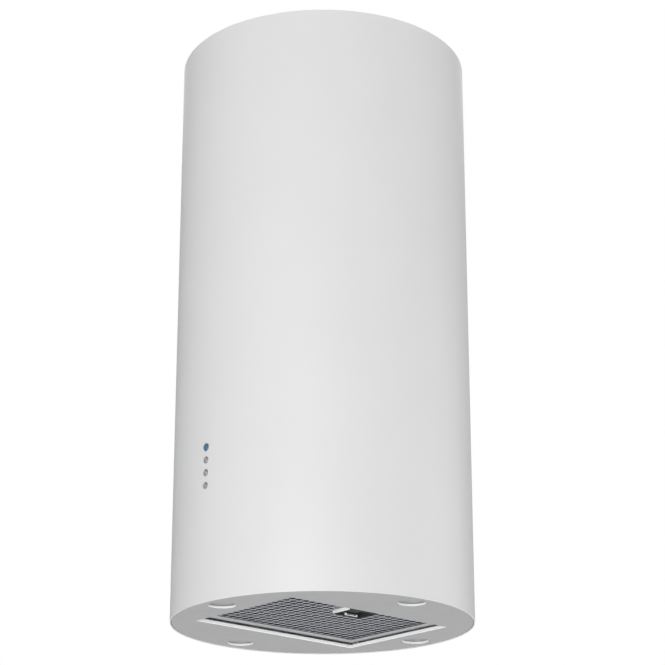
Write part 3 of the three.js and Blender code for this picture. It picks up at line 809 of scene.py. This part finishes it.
# metal, cells in X and Y, the hole's share of a cell, the strands' dip, the points round a hole
# and the bands beside it, whether the strands dip down, and the thickness
FILTER_LAYERS = {
    "front": (FRONT_MESH, 16, 24, 0.88, 1.3 * MM, (16, 2), False, 0.4 * MM),
    # the core and back layers use the near-black metal, a painted shade
    "core": (INNER_MESH_PAINTED_SHADE, 23, 35, 0.8, 1.2 * MM, (12, 1), True, 0.4 * MM),
    "back": (INNER_MESH_PAINTED_SHADE, 16, 24, 0.82, 1.4 * MM, (16, 2), True, 0.5 * MM),
}


def swept_ring(bm, section, half_x, half_y, corner, centre):
    """Sweeps a closed (distance, height) section round a rounded rectangle."""
    skin(bm, [
        rounded_rectangle(half_x + d, half_y + d, corner + d, z, centre)
        for d, z in section], "joined")


def build_handle():
    """A dark moulded pocket with a satin metal trim round three of its sides."""
    low, high = HANDLE_LOW, HANDLE_HIGH
    centre = ((low.x + high.x) / 2, HANDLE_Y)
    half_x, half_y = (high.x - low.x) / 2, high.y - HANDLE_Y
    shell_wall = 0.6 * MM
    liner_wall = 0.9 * MM
    corner = 1.6 * MM
    rim = low.z + 0.3 * MM
    shell_section = rounded([
        (0, rim), (0, high.z, 0.2 * MM), (-shell_wall, high.z, 0.1 * MM), (-shell_wall, rim)])
    bm = bmesh.new()
    swept_ring(bm, shell_section, half_x, half_y, corner, centre)
    shell = new_object("filter_handle_shell", bm)
    open_side = bmesh.new()
    block(open_side, (high.x - 2 * MM, low.y - 1 * MM, low.z - 1 * MM),
          (high.x + 1 * MM, high.y + 1 * MM, high.z + 1 * MM))
    cut(shell, open_side)
    add_piece(shell, "filter", LACQUER, ["filter_handle_cup"], "filter_aluminium")

    inner = shell_wall + liner_wall
    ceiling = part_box("filter_latch")[1].z + 0.8 * MM
    liner_section = rounded([
        (-0.15 * MM, rim), (-0.15 * MM, low.z, 0.15 * MM), (-inner, low.z, 0.35 * MM),
        (-inner, high.z - 0.5 * MM), (-shell_wall - 0.05 * MM, high.z - 0.5 * MM),
        (-shell_wall - 0.05 * MM, rim)])
    bm = bmesh.new()
    swept_ring(bm, liner_section, half_x, half_y, corner, centre)
    block(bm, (low.x + shell_wall + 0.1 * MM, low.y + shell_wall + 0.1 * MM, ceiling),
          (high.x - shell_wall - 0.1 * MM, high.y - shell_wall - 0.1 * MM, high.z - 0.6 * MM))
    liner = new_object("filter_handle_pocket", bm)
    cut(liner, latch_slot())
    add_piece(liner, "filter", BLACK_PLASTIC, ["filter_handle_cup"], "black_plastic")


def build_latch():
    """Sliding plate and tongue in one moulding, with a bright pad on the finger tab."""
    low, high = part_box("filter_latch")
    plate = LATCH_PLATE
    tab = 2 * MM
    bm = bmesh.new()
    side = rounded([
        (low.x, low.z, 0.7 * MM), (low.x + tab, low.z, 0.7 * MM),
        (low.x + tab, high.z - plate - 0.4 * MM, 0.4 * MM),
        (high.x - 1.2 * MM, high.z - plate), (high.x, high.z - plate + 0.8 * MM, 0.2 * MM),
        (high.x, high.z, 0.3 * MM), (low.x, high.z, 1 * MM)])
    stand = Matrix.Translation((0, HANDLE_Y, 0)) @ Matrix.Rotation(math.radians(90), 4, "X")
    prism(bm, side, -LATCH_HALF_WIDTH, LATCH_HALF_WIDTH, stand)
    piece = new_object("filter_latch_strip", bm)
    bevel(piece, 0.25 * MM)
    add_piece(piece, "latch", BLACK_PLASTIC, ["filter_latch"], "black_plastic")

    face = rounded_rectangle(
        0.9 * MM, high.y - HANDLE_Y, 0.8 * MM, 0, (low.x + tab - 0.9 * MM, HANDLE_Y))
    for name, base, top, finish, slot in (
            ("pad", low.z, low.z + 2.7 * MM, LACQUER, "filter_aluminium"),
            ("stem", low.z + 2.7 * MM, high.z - plate - 0.9 * MM, BLACK_PLASTIC, "black_plastic")):
        bm = bmesh.new()
        prism(bm, [p.xy for p in face], base, top)
        piece = new_object(f"filter_latch_finger_{name}", bm)
        bevel(piece, 0.3 * MM)
        add_piece(piece, "latch", finish, slot=slot)


def helix(start, length, radius, turns):
    """Points of a coil along +X, with closed turns at both ends."""
    points = []
    steps = turns * 24
    for step in range(steps + 1):
        share = step / steps
        turn = math.tau * turns * share
        along = length * (share - math.sin(math.tau * share) / math.tau * 0.6)
        points.append(Vector(start) + Vector((
            along, radius * math.cos(turn), radius * math.sin(turn))))
    return points


def wire(bm, points, radius):
    """A round wire along a list of points, with flat ends."""
    sides = 8
    loops = []
    side = None
    for index, point in enumerate(points):
        before = points[max(index - 1, 0)]
        after = points[min(index + 1, len(points) - 1)]
        along = (after - before).normalized()
        if side is None:
            side = along.orthogonal().normalized()
        side = (side - along * side.dot(along)).normalized()
        other = along.cross(side)
        loops.append([
            point + radius * (side * math.cos(math.tau * k / sides)
                              + other * math.sin(math.tau * k / sides))
            for k in range(sides)])
    skin(bm, loops, "capped")


def build_latch_spring():
    low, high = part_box("latch_spring")
    gauge = 0.22 * MM
    radius = (high.z - low.z) / 2 - gauge
    centre = (low.x + gauge, HANDLE_Y, (low.z + high.z) / 2)
    bm = bmesh.new()
    wire(bm, helix(centre, high.x - low.x - 2 * gauge, radius, 8), gauge)
    spring = new_object("latch_coil_spring", bm, 60)
    add_piece(spring, "filter", BRIGHT_STEEL, ["latch_spring"], "plain_steel")
    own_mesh(spring)


# ---- Buttons: a turned metal ring in the tube's wall and a dished cap that slides in it


def build_button(name):
    low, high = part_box(f"{name}_button_bezel")
    outer = (high.x - low.x) / 2
    bore = outer - 0.7 * MM
    place = Matrix.Translation((0, 0, (low.z + high.z) / 2)) @ ALONG_Y
    ring = rounded([
        (bore, low.y + 0.3 * MM), (bore + 0.15 * MM, low.y, 0.1 * MM),
        (outer - 0.2 * MM, low.y, 0.15 * MM), (outer, low.y + 0.3 * MM, 0.1 * MM),
        (outer, high.y), (bore, high.y)])
    turned_piece(f"{name}_button_ring", ring, ROUND_STEPS, place,
                 "root", BUTTON_STEEL, [f"{name}_button_bezel"], "button_steel")

    low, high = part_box(f"{name}_button")
    face = low.y
    skirt = face + 6 * MM
    stem = 1.6 * MM
    cap = bore - 0.3 * MM
    shape = rounded([
        (0, face + 0.35 * MM), (cap * 0.45, face + 0.22 * MM), (cap * 0.75, face, 0.3 * MM),
        (cap, face + 0.15 * MM, 0.25 * MM), (cap, skirt, 0.2 * MM), (stem, skirt),
        (stem, high.y), (0, high.y)], 3)
    finish, slot = (BLUE, "button_blue") if name == "power" else (BUTTON_CAP, "button_steel")
    turned_piece(f"{name}_button_cap", shape, ROUND_STEPS, place,
                 f"{name}_key", finish, [f"{name}_button"], slot)


# ---- Fasteners


def hexagon(half_flat, z):
    loop = []
    for step in range(HEX_STEPS):
        turn = math.tau * step / HEX_STEPS
        off_flat = (turn + math.pi / 6) % (math.pi / 3) - math.pi / 6
        loop.append(Vector((*polar(half_flat / math.cos(off_flat), turn), z)))
    return loop


def screw_head(bm, matrix, radius, height):
    """A pan head with a hexagon socket, standing on the local XY plane."""
    dome = ((1, 0.45), (0.94, 0.75), (0.8, 0.95), (0.62, 1))  # shares of the radius and height
    loops = [circle(radius, -0.3 * MM, HEX_STEPS)]
    loops += [circle(radius * wide, height * rise, HEX_STEPS) for wide, rise in dome]
    loops += [hexagon(radius * 0.42, height), hexagon(radius * 0.4, height * 0.35)]
    skin(bm, loops, "capped", matrix)


def screws(name, places, radius, height):
    """A set of identical screws; each place is a point and the direction its head faces."""
    bm = bmesh.new()
    for point, facing in places:
        turn = Vector(facing).to_track_quat("Z", "Y").to_matrix().to_4x4()
        screw_head(bm, Matrix.Translation(point) @ turn, radius, height)
    add_piece(new_object(name, bm), "root", BRIGHT_STEEL, slot="plain_steel")


def build_nut(node):
    low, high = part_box(node)
    half_flat = (high.y - low.y) / 2
    height = high.z - low.z
    bore = 2.1 * MM
    chamfer = 0.4 * MM
    corner = half_flat * 0.97
    loops = [
        circle(bore, 0, HEX_STEPS), circle(corner, 0, HEX_STEPS), hexagon(half_flat, height * 0.14),
        hexagon(half_flat, height * 0.86), circle(corner, height, HEX_STEPS),
        circle(bore + chamfer, height, HEX_STEPS), circle(bore, height - chamfer, HEX_STEPS)]
    bm = bmesh.new()
    skin(bm, loops, "joined", Matrix.Translation((*centre_xy(node), low.z)))
    add_piece(new_object(node.replace("nut", "stud_nut"), bm),
              "root", BRIGHT_STEEL, [node], "plain_steel")


# ---- Pieces whose CAD shape is right: finer edges, smooth shading and a material


def smoothing_nodes():
    """A node group that shades smooth everywhere but across sharp edges."""
    group = bpy.data.node_groups.new("smooth_by_angle", "GeometryNodeTree")
    group.interface.new_socket("Geometry", in_out="INPUT", socket_type="NodeSocketGeometry")
    group.interface.new_socket("Geometry", in_out="OUTPUT", socket_type="NodeSocketGeometry")
    start = group.nodes.new("NodeGroupInput")
    end = group.nodes.new("NodeGroupOutput")
    angle = group.nodes.new("GeometryNodeInputMeshEdgeAngle")
    sharper = group.nodes.new("FunctionNodeCompare")
    sharper.operation = "GREATER_THAN"
    sharper.inputs["B"].default_value = SHARP_ANGLE
    all_smooth = group.nodes.new("GeometryNodeSetShadeSmooth")
    edges = group.nodes.new("GeometryNodeSetShadeSmooth")
    edges.domain = "EDGE"
    edges.inputs["Shade Smooth"].default_value = False
    group.links.new(start.outputs[0], all_smooth.inputs["Geometry"])
    group.links.new(all_smooth.outputs[0], edges.inputs["Geometry"])
    group.links.new(angle.outputs["Unsigned Angle"], sharper.inputs["A"])
    group.links.new(sharper.outputs["Result"], edges.inputs["Selection"])
    group.links.new(edges.outputs[0], end.inputs[0])
    return group


SMOOTHING = smoothing_nodes()


def soften(node, material):
    piece = frame["nodes"][node]
    modify(piece, "WELD", merge_threshold=0.005 * MM)
    modify(piece, "NODES", node_group=SMOOTHING)
    bevel(piece, 0.3 * MM)
    piece.data.materials.clear()
    piece.data.materials.append(material)


def soften_cad_nodes():
    finishes = {
        GALVANISED: ["blower_casing", "motor_bracket", "tube_bracket_right", "tube_bracket_left"]
        + [f"leg_{leg}" for leg in LEGS],
        BLACK_PLASTIC: ["switch_housing", "volute_front", "volute_rear"],
        GREY_PLASTIC: ["electronics_box"],
        BRIGHT_STEEL: ["motor_shaft"],
        BOARD: ["control_board"],
    }
    for material, nodes in finishes.items():
        for node in nodes:
            soften(node, material)


# ---- Blower


def blower_axis():
    pin = joint("impeller_spin")["pos_m"]
    return Matrix.Translation((pin[0], 0, pin[2])) @ ALONG_Y


BLADES = 40


def blade_outline(inner, outer):
    steps = 6
    half_thickness = 0.45 * MM
    sweep = 0.13
    sides = ([], [])
    for step in range(steps + 1):
        share = step / steps
        radius = inner + (outer - inner) * share
        for side, points in zip((-1, 1), sides):
            turn = sweep * share ** 1.8 + side * half_thickness / radius
            points.append(polar(radius, turn))
    return sides[0] + sides[1][::-1]


def build_impeller():
    """A double-inlet wheel with forward-curved blades between two rims and a hub disc."""
    low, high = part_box("impeller")
    outer = (high.z - low.z) / 2
    half = high.y
    inner = outer - 12 * MM
    rim = 3 * MM
    bend = 0.6 * MM
    bore = 4.1 * MM
    hub = 12 * MM
    disc, web = outer - 1 * MM, 1.5 * MM
    axis = blower_axis()
    bm = bmesh.new()
    for side in (-1, 1):
        middle = side * (half - rim / 2)
        start, end = middle - rim / 2, middle + rim / 2
        turned(bm, rounded([
            (inner, start, bend), (outer, start, bend), (outer, end, bend), (inner, end, bend)]),
            WHEEL_STEPS, axis)
    turned(bm, rounded([
        (bore, -8 * MM), (hub, -8 * MM, 1 * MM), (hub, -web, 1 * MM), (disc, -web, 0.5 * MM),
        (disc, web, 0.5 * MM), (14 * MM, web, 2 * MM), (hub, 14 * MM, 1 * MM), (bore, 14 * MM)]),
        WHEEL_STEPS, axis)
    outline = blade_outline(inner + 0.4 * MM, outer - 0.6 * MM)
    for spin in spins(BLADES):
        prism(bm, outline, -half + 1 * MM, half - 1 * MM, axis @ spin)
    spokes = 6
    for spin in spins(spokes):
        block(bm, (11 * MM, -0.9 * MM, 1 * MM), (outer - 16 * MM, 0.9 * MM, 5 * MM), axis @ spin)
    add_piece(new_object("impeller_wheel", bm), "rotor", BLACK_PLASTIC, ["impeller"], "black_plastic")


def build_motor():
    """Laminated stator between two die-cast end bells, the deeper one at the front."""
    low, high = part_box("motor")
    radius = (high.z - low.z) / 2
    bore = 4.5 * MM
    build_end_bells(radius, bore, low.y, high.y)
    build_stator(radius, bore, low.y + 35.6 * MM, high.y - 26.1 * MM)


def build_end_bells(radius, bore, front, rear):
    axis = blower_axis()
    rear_radius = radius - 4.5 * MM
    boss = 14 * MM
    bm = bmesh.new()
    turned(bm, rounded([
        (bore, front), (radius - 12 * MM, front, 3 * MM), (radius - 0.5 * MM, front + 5 * MM, 4 * MM),
        (radius, front + 34 * MM, 1 * MM), (radius - 5 * MM, front + 35.5 * MM, 1 * MM),
        (bore, front + 35.5 * MM)]), WHEEL_STEPS, axis)
    turned(bm, rounded([
        (bore, rear - 26 * MM), (rear_radius, rear - 26 * MM, 1 * MM),
        (rear_radius, rear - 12 * MM, 5 * MM), (boss, rear - 4 * MM, 2 * MM),
        (boss, rear, 1 * MM), (bore, rear)]), WHEEL_STEPS, axis)
    bolts = 4
    reach = radius - 9 * MM
    for bolt in range(bolts):
        turn = math.tau * (bolt + 0.5) / bolts
        place = axis @ Matrix.Translation((*polar(reach, turn), front + 3 * MM))
        screw_head(bm, place @ Matrix.Rotation(math.pi, 4, "X"), 3 * MM, 2.6 * MM)
    add_piece(new_object("motor_end_bells", bm), "root", HEAT_SINK, ["motor"], "plain_steel")


def build_stator(radius, bore, start, end):
    sheets = 22
    pitch = (end - start) / sheets
    groove, ridge = radius - 4.8 * MM, radius - 4 * MM
    outline = [(bore, start)]
    for sheet in range(sheets):
        z = start + sheet * pitch
        outline += [(groove, z), (ridge, z + 0.3 * pitch), (ridge, z + 0.7 * pitch)]
    outline += [(groove, end), (bore, end)]
    turned_piece("motor_stator", [Vector(p) for p in outline], WHEEL_STEPS, blower_axis(),
                 "root", BRIGHT_STEEL, ["motor"], "plain_steel")


def build_inlet_ring(name, side):
    """A flat ring that curls in to a rounded throat."""
    low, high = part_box(f"inlet_ring_{name}")
    outer = (high.z - low.z) / 2
    start, end = sorted((abs(low.y), abs(high.y)))
    lip = 6 * MM
    throat = outer - 14 * MM
    ledge = start + 2 * MM
    steps = 12
    slant = 0.2
    outline = [(throat, start), (outer, start), (outer, ledge), (outer - 2.6 * MM, ledge)]
    for step in range(steps + 1):
        turn = -slant + (math.pi + slant) * step / steps
        outline.append((
            throat + lip + lip * math.cos(turn), end - lip + lip * math.sin(turn)))
    facing = Matrix.Rotation(0 if side > 0 else math.pi, 4, "X")
    turned_piece(f"inlet_bell_{name}", [Vector(p) for p in outline], WHEEL_STEPS,
                 blower_axis() @ facing,
                 "root", BLACK_PLASTIC, [f"inlet_ring_{name}"], "black_plastic")


# ---- Outlet collar and its two flaps


def build_collar():
    """A flanged duct with two beads, and inside it a ledge that stops the flaps."""
    low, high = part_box("outlet_collar")
    flange = high.x
    duct = 75 * MM
    wall = 1.5 * MM
    bore = duct - wall
    lip = bore - 4 * MM
    pin = joint("front_flap_swing")["pos_m"][2]
    ledge = pin - 1.3 * MM
    bead = 1.2 * MM
    outline = [
        (bore, low.z), (flange, low.z, 0.4 * MM), (flange, low.z + wall, 0.4 * MM),
        (duct, low.z + wall, 1.5 * MM)]
    for level in (22 * MM, 40 * MM):
        z = low.z + level
        outline += [
            (duct, z - bead, 0.5 * MM), (duct - 0.8 * MM, z, 0.8 * MM), (duct, z + bead, 0.5 * MM)]
    outline += [
        (duct, high.z - 3 * MM, 1 * MM), (duct - 0.5 * MM, high.z, 0.4 * MM),
        (bore, high.z, 0.4 * MM), (bore, ledge, 0.3 * MM), (lip, ledge, 0.3 * MM),
        (lip, ledge - wall, 0.3 * MM), (bore, ledge - wall, 0.5 * MM)]
    bm = bmesh.new()
    turned(bm, rounded(outline), FINE_STEPS)
    piece = new_object("duct_collar", bm)
    notch = bmesh.new()
    reach = bore + 0.4 * MM
    block(notch, (-reach, -2 * MM, ledge - 2 * MM), (reach, 2 * MM, pin + 2 * MM))
    cut(piece, notch)
    add_piece(piece, "root", GREY_PLASTIC, ["outlet_collar"], "grey_plastic")


def build_collar_screws():
    low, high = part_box("outlet_collar")
    reach = high.x - 4.5 * MM
    seat = low.z + 1.5 * MM
    count = 6
    places = []
    for screw in range(count):
        turn = math.tau * (screw + 0.5) / count
        places.append(((*polar(reach, turn), seat), (0, 0, 1)))
    screws("collar_screws", places, 3 * MM, 2 * MM)


def build_flap_rod():
    low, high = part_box("flap_pin")
    radius = (high.z - low.z) / 2
    chamfer = 0.4 * MM
    outline = rounded([
        (0, low.x), (radius, low.x, chamfer), (radius, high.x, chamfer), (0, high.x)])
    place = Matrix.Translation((0, 0, (low.z + high.z) / 2)) @ ALONG_X
    turned_piece("flap_hinge_rod", outline, PIN_STEPS, place,
                 "root", BRIGHT_STEEL, ["flap_pin"], "plain_steel")


# where each flap's knuckles start and end along the rod, in millimetres
KNUCKLES = {"front": ((-62, -34), (6, 34)), "rear": ((-30, 2), (38, 62))}


def build_flap(name, side):
    """A ribbed half disc, its knuckles interleaved with the other flap's on one rod."""
    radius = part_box(f"{name}_flap")[1].x
    level = joint(f"{name}_flap_swing")["pos_m"][2]
    sheet = 1 * MM
    edge = 2 * MM
    recess = 3.4 * MM
    other = "rear" if name == "front" else "front"
    outline = []
    first = math.asin(edge / radius)
    for step in range(ROUND_STEPS + 1):
        turn = first + (math.pi - 2 * first) * step / ROUND_STEPS
        outline.append(polar(radius, turn))
    for x0, x1 in KNUCKLES[other]:
        left, right = (x0 - 1) * MM, (x1 + 1) * MM
        outline += [(left, edge), (left, recess), (right, recess), (right, edge)]
    place = Matrix.Translation((0, 0, level)) @ Matrix.Scale(side, 4, (0, 1, 0))
    bm = bmesh.new()
    prism(bm, outline, -sheet, 0, place)
    for x0, x1 in KNUCKLES[name]:
        start, end = x0 * MM, x1 * MM
        block(bm, (start, edge, -sheet), (end, 4 * MM, 0), place)
        turned(bm, rounded([
            (1.8 * MM, start), (2.6 * MM, start, 0.2 * MM), (2.6 * MM, end, 0.2 * MM),
            (1.8 * MM, end)]), PIN_STEPS, place @ ALONG_X)
        rib = (start + end) / 2
        reach = math.sqrt(radius ** 2 - rib ** 2) - 6 * MM
        block(bm, (rib - 0.6 * MM, 9 * MM, -0.2 * MM), (rib + 0.6 * MM, reach, 1.1 * MM), place)
    flap = new_object(f"{name}_damper_flap", bm)
    bevel(flap, 0.2 * MM)
    add_piece(flap, f"flap_{name}", GREY_PLASTIC, [f"{name}_flap"], "grey_plastic")


# ---- Suspension


def oblong(length, radius, middle, turn, z):
    """A slot's outline, its length across the spoke at the given turn."""
    steps = 12
    points = []
    for end in (1, -1):
        for step in range(steps + 1):
            sweep = math.pi * step / steps
            x = radius * math.cos(sweep) * end
            y = end * (length / 2 - radius) + radius * math.sin(sweep) * end
            points.append(Vector((middle + x, y, z)))
    spin = Matrix.Rotation(turn, 3, "Z")
    return [spin @ point for point in points]


def leg_corners():
    """Where the legs' feet are screwed to the ceiling plate."""
    return [centre_xy(f"leg_{leg}") for leg in LEGS]


def build_ceiling_plate():
    """A disc with a duct opening, a cable hole, slots for ceiling screws and four holes for the leg
    screws.
    """
    low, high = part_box("ceiling_plate")
    edge = 0.35 * MM
    levels = ((low.z, edge), (low.z + edge, 0), (high.z - edge, 0), (high.z, edge))
    slots = 8
    bm = bmesh.new()
    edges = [
        skin(bm, [circle(high.x - inset, z) for z, inset in levels]),
        skin(bm, [circle(82 * MM + inset, z) for z, inset in levels]),
        skin(bm, [circle(10 * MM + inset, z, HEX_STEPS, (0, -105 * MM)) for z, inset in levels])]
    for slot in range(slots):
        turn = math.tau * (slot + 0.5) / slots
        edges.append(skin(bm, [
            oblong(26 * MM + 2 * inset, 3.5 * MM + inset, 168 * MM, turn, z)
            for z, inset in levels]))
    for corner in leg_corners():
        edges.append(skin(bm, [
            circle(2 * MM + max(0, z - low.z - 0.2 * MM), z, PIN_STEPS, corner)
            for z, _ in levels]))
    fill(bm, [rings[0] for rings in edges])
    fill(bm, [rings[-1] for rings in edges])
    add_piece(new_object("ceiling_mounting_plate", bm, 25),
              "root", GALVANISED, ["ceiling_plate"], "galvanised")


def build_leg_top_screws():
    """Countersunk screws, from the ceiling plate's top down into the legs."""
    low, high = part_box("ceiling_plate")
    shank = 1.7 * MM
    tip = low.z - 4 * MM
    face = high.z - 0.15 * MM
    socket = high.z - 1.2 * MM
    outline = [Vector(p) for p in (
        (0, tip), (shank, tip), (shank, low.z + 0.1 * MM), (3.4 * MM, face), (1.9 * MM, face),
        (1.5 * MM, socket), (0, socket))]
    bm = bmesh.new()
    for x, y in leg_corners():
        turned(bm, outline, PIN_STEPS, Matrix.Translation((x, y, 0)))
    add_piece(new_object("leg_top_screws", bm), "root", BRIGHT_STEEL, slot="plain_steel")


def build_leg_screws():
    """Three screws in each of a leg's two outer faces."""
    inset = 12 * MM
    places = []
    for leg in LEGS:
        low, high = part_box(f"leg_{leg}")
        side_x = 1 if high.x > 0 else -1
        side_y = 1 if high.y > 0 else -1
        face_x = high.x if side_x > 0 else low.x
        face_y = high.y if side_y > 0 else low.y
        for rise in (20 * MM, 90 * MM, 160 * MM):
            z = low.z + rise
            places.append(((face_x, face_y - side_y * inset, z), (side_x, 0, 0)))
            places.append(((face_x - side_x * inset, face_y, z), (0, side_y, 0)))
    screws("leg_screws", places, 3.5 * MM, 2.2 * MM)


# ---- Electronics


def build_gland():
    """A threaded body, a hexagon and a fluted cap, with a bore right through."""
    low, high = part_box("cable_gland")
    place = Matrix.Translation((*centre_xy("cable_gland"), 0))
    bore = 3.8 * MM
    body = 6 * MM
    nut = 8.4 * MM
    cap = 7.9 * MM
    base = low.z + 10.3 * MM
    top = base + 10 * MM

    def ring(radius, z):
        return circle(radius, z, HEX_STEPS)

    loops = [
        ring(bore, low.z), ring(body, low.z), ring(body, base), hexagon(nut, base),
        hexagon(nut, base + 4.4 * MM), ring(7.6 * MM, base + 5.2 * MM),
        ring(cap, base + 5.6 * MM), ring(cap, top), ring(7.3 * MM, base + 13 * MM),
        ring(5.6 * MM, high.z - 0.4 * MM), ring(5 * MM, high.z), ring(bore, high.z)]
    bm = bmesh.new()
    skin(bm, loops, "joined", place)
    flutes = 12
    for spin in spins(flutes):
        block(bm, (7.5 * MM, -0.6 * MM, base + 5.8 * MM), (nut, 0.6 * MM, top), place @ spin)
    add_piece(new_object("supply_cable_gland", bm),
              "root", BLACK_PLASTIC, ["cable_gland"], "black_plastic")


def build_box_details():
    low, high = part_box("electronics_box")
    inset = 6 * MM
    places = []
    for x in (low.x + inset, high.x - inset):
        for z in (low.z + inset, high.z - inset):
            places.append(((x, low.y, z), (0, -1, 0)))
    screws("electronics_box_screws", places, 2.6 * MM, 1.6 * MM)
    bm = bmesh.new()
    louvres = 7
    half_length = 24 * MM
    for louvre in range(louvres):
        z = low.z + 25 * MM + louvre * 7 * MM
        block(bm, (-half_length, low.y - 0.7 * MM, z), (half_length, low.y + 0.4 * MM, z + 3 * MM))
    ribs = new_object("electronics_box_ribs", bm)
    bevel(ribs, 0.5 * MM, 3)
    add_piece(ribs, "root", GREY_PLASTIC, slot="grey_plastic")


def build_board_parts():
    """A connector, a controller and small parts on the back of the switch board."""
    low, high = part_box("control_board")
    back = high.y
    middle = (low.z + high.z) / 2
    # each box is two corners in X and Z and a height, in millimetres
    parts = {
        "board_connector": (LIGHT_PLASTIC, "grey_plastic", [((-6, -30), (6, -18), 1.2)]),
        "board_chips": (BLACK_PLASTIC, "black_plastic", [
            ((-4, -4), (4, 4), 0.9), ((-6, 12), (-2, 16), 0.8), ((2, 20), (6, 24), 0.8),
            ((-7, 26), (-5, 30), 0.7), ((3, -12), (6, -9), 0.7)]),
    }
    for name, (material, slot, boxes) in parts.items():
        bm = bmesh.new()
        for (x0, z0), (x1, z1), height in boxes:
            block(bm, (x0 * MM, back - 0.2 * MM, middle + z0 * MM),
                  (x1 * MM, back + height * MM, middle + z1 * MM))
        piece = new_object(name, bm)
        bevel(piece, 0.15 * MM)
        add_piece(piece, "root", material, slot=slot)


# ---- Camera, floor and light

CAMERA_AZIMUTH = math.radians(48.5)
CAMERA_DISTANCE = 2.632
CAMERA_BELOW = 0.553  # camera under the hood's lower edge
CAMERA_PITCH = math.radians(19.86)
CAMERA_YAW = math.radians(0.28)
CAMERA_LENS = 112.7
FLOOR_GLOW_PAINTED_SHADOW = 0.22  # the floor's glow below the hood, kept low as a painted shadow of the hood; it fades to white far away
FLOOR_LEVEL = -2.4
AMBIENT_STRENGTH = 0.19
LIT_POINT = Vector((0, 0, -0.4))

# azimuth and elevation seen from the lit point, distance, side and watts
STUDIO_LIGHTS = {
    "key": (33, -13, 3.6, 2.4, 64),
    "side": (148, -6, 3.8, 3.4, 42),
    "back": (228, 55, 4.2, 4.0, 60),
    "top": (0, 90, 3.6, 3.0, 48),
}


def build_camera():
    data = bpy.data.cameras.new("camera")
    data.lens = CAMERA_LENS
    data.sensor_width = 36
    camera = bpy.data.objects.new("camera", data)
    bpy.context.scene.collection.objects.link(camera)
    camera.location = (
        CAMERA_DISTANCE * math.sin(CAMERA_AZIMUTH),
        -CAMERA_DISTANCE * math.cos(CAMERA_AZIMUTH),
        TUBE_LOW.z - CAMERA_BELOW,
    )
    camera.rotation_euler = (math.pi / 2 + CAMERA_PITCH, 0, CAMERA_AZIMUTH - CAMERA_YAW)
    bpy.context.scene.camera = camera


def build_floor():
    bm = bmesh.new()
    bmesh.ops.create_grid(bm, x_segments=1, y_segments=1, size=15)
    floor = new_object("floor", bm)
    floor.location.z = FLOOR_LEVEL
    finish = Finish("pale_floor_painted_shadow")
    # The glow is least below the hood, a painted shadow of it, and rises to white far away.
    tone = finish.ramp(finish.spread(), FLOOR_GLOW_PAINTED_SHADOW, 1.0, 0.25, 0.8)
    finish.links.new(tone, finish.shader.inputs["Emission Color"])
    finish.set(Base_Color=(0.88, 0.88, 0.88, 1), Roughness=0.9, Emission_Strength=1)
    floor.data.materials.append(finish.material)


def build_light(name, azimuth, elevation, distance, size, power):
    data = bpy.data.lights.new(name, "AREA")
    data.shape = "SQUARE"
    data.size = size
    data.energy = power
    light = bpy.data.objects.new(name, data)
    bpy.context.scene.collection.objects.link(light)
    turn, rise = math.radians(azimuth), math.radians(elevation)
    back = Vector((
        math.sin(turn) * math.cos(rise), -math.cos(turn) * math.cos(rise), math.sin(rise)))
    light.location = LIT_POINT + back * distance
    light.rotation_mode = "QUATERNION"
    light.rotation_quaternion = back.to_track_quat("Z", "Y")
    light.visible_camera = False


def build_world():
    """White seen directly, and a dimmer even light on the object."""
    world = bpy.data.worlds.new("studio")
    world.use_nodes = True
    tree = world.node_tree
    links = tree.links
    backdrop = tree.nodes["Background"]
    backdrop.inputs["Color"].default_value = (1, 1, 1, 1)
    backdrop.inputs["Strength"].default_value = 1.0
    ambient = new_node(tree, "Background", Color=(0.99, 0.995, 1, 1), Strength=AMBIENT_STRENGTH)
    mix = new_node(tree, "MixShader")
    path = new_node(tree, "LightPath")
    links.new(path.outputs["Is Camera Ray"], mix.inputs["Fac"])
    links.new(ambient.outputs["Background"], mix.inputs[1])
    links.new(backdrop.outputs["Background"], mix.inputs[2])
    links.new(mix.outputs["Shader"], tree.nodes["World Output"].inputs["Surface"])
    bpy.context.scene.world = world
    bpy.context.scene.view_settings.view_transform = "Standard"


build_camera()
build_floor()
build_world()
for light, row in STUDIO_LIGHTS.items():
    build_light(light, *row)
build_tube()
build_panel()
build_panel_studs()
build_pin_cradles()
for lamp in LAMPS:
    build_lamp(lamp)
build_filter_frame()
build_filter_pins()
for layer, row in FILTER_LAYERS.items():
    build_filter_layer(layer, *row)
build_handle()
build_latch()
build_latch_spring()
for button in BUTTONS:
    build_button(button)
for nut in PANEL_NUTS:
    build_nut(nut)
soften_cad_nodes()
build_impeller()
build_motor()
for end, side in SIDES.items():
    build_inlet_ring(end, side)
build_collar()
build_collar_screws()
build_flap_rod()
for end, side in SIDES.items():
    build_flap(end, side)
build_ceiling_plate()
build_leg_top_screws()
build_leg_screws()
build_gland()
build_box_details()
build_board_parts()
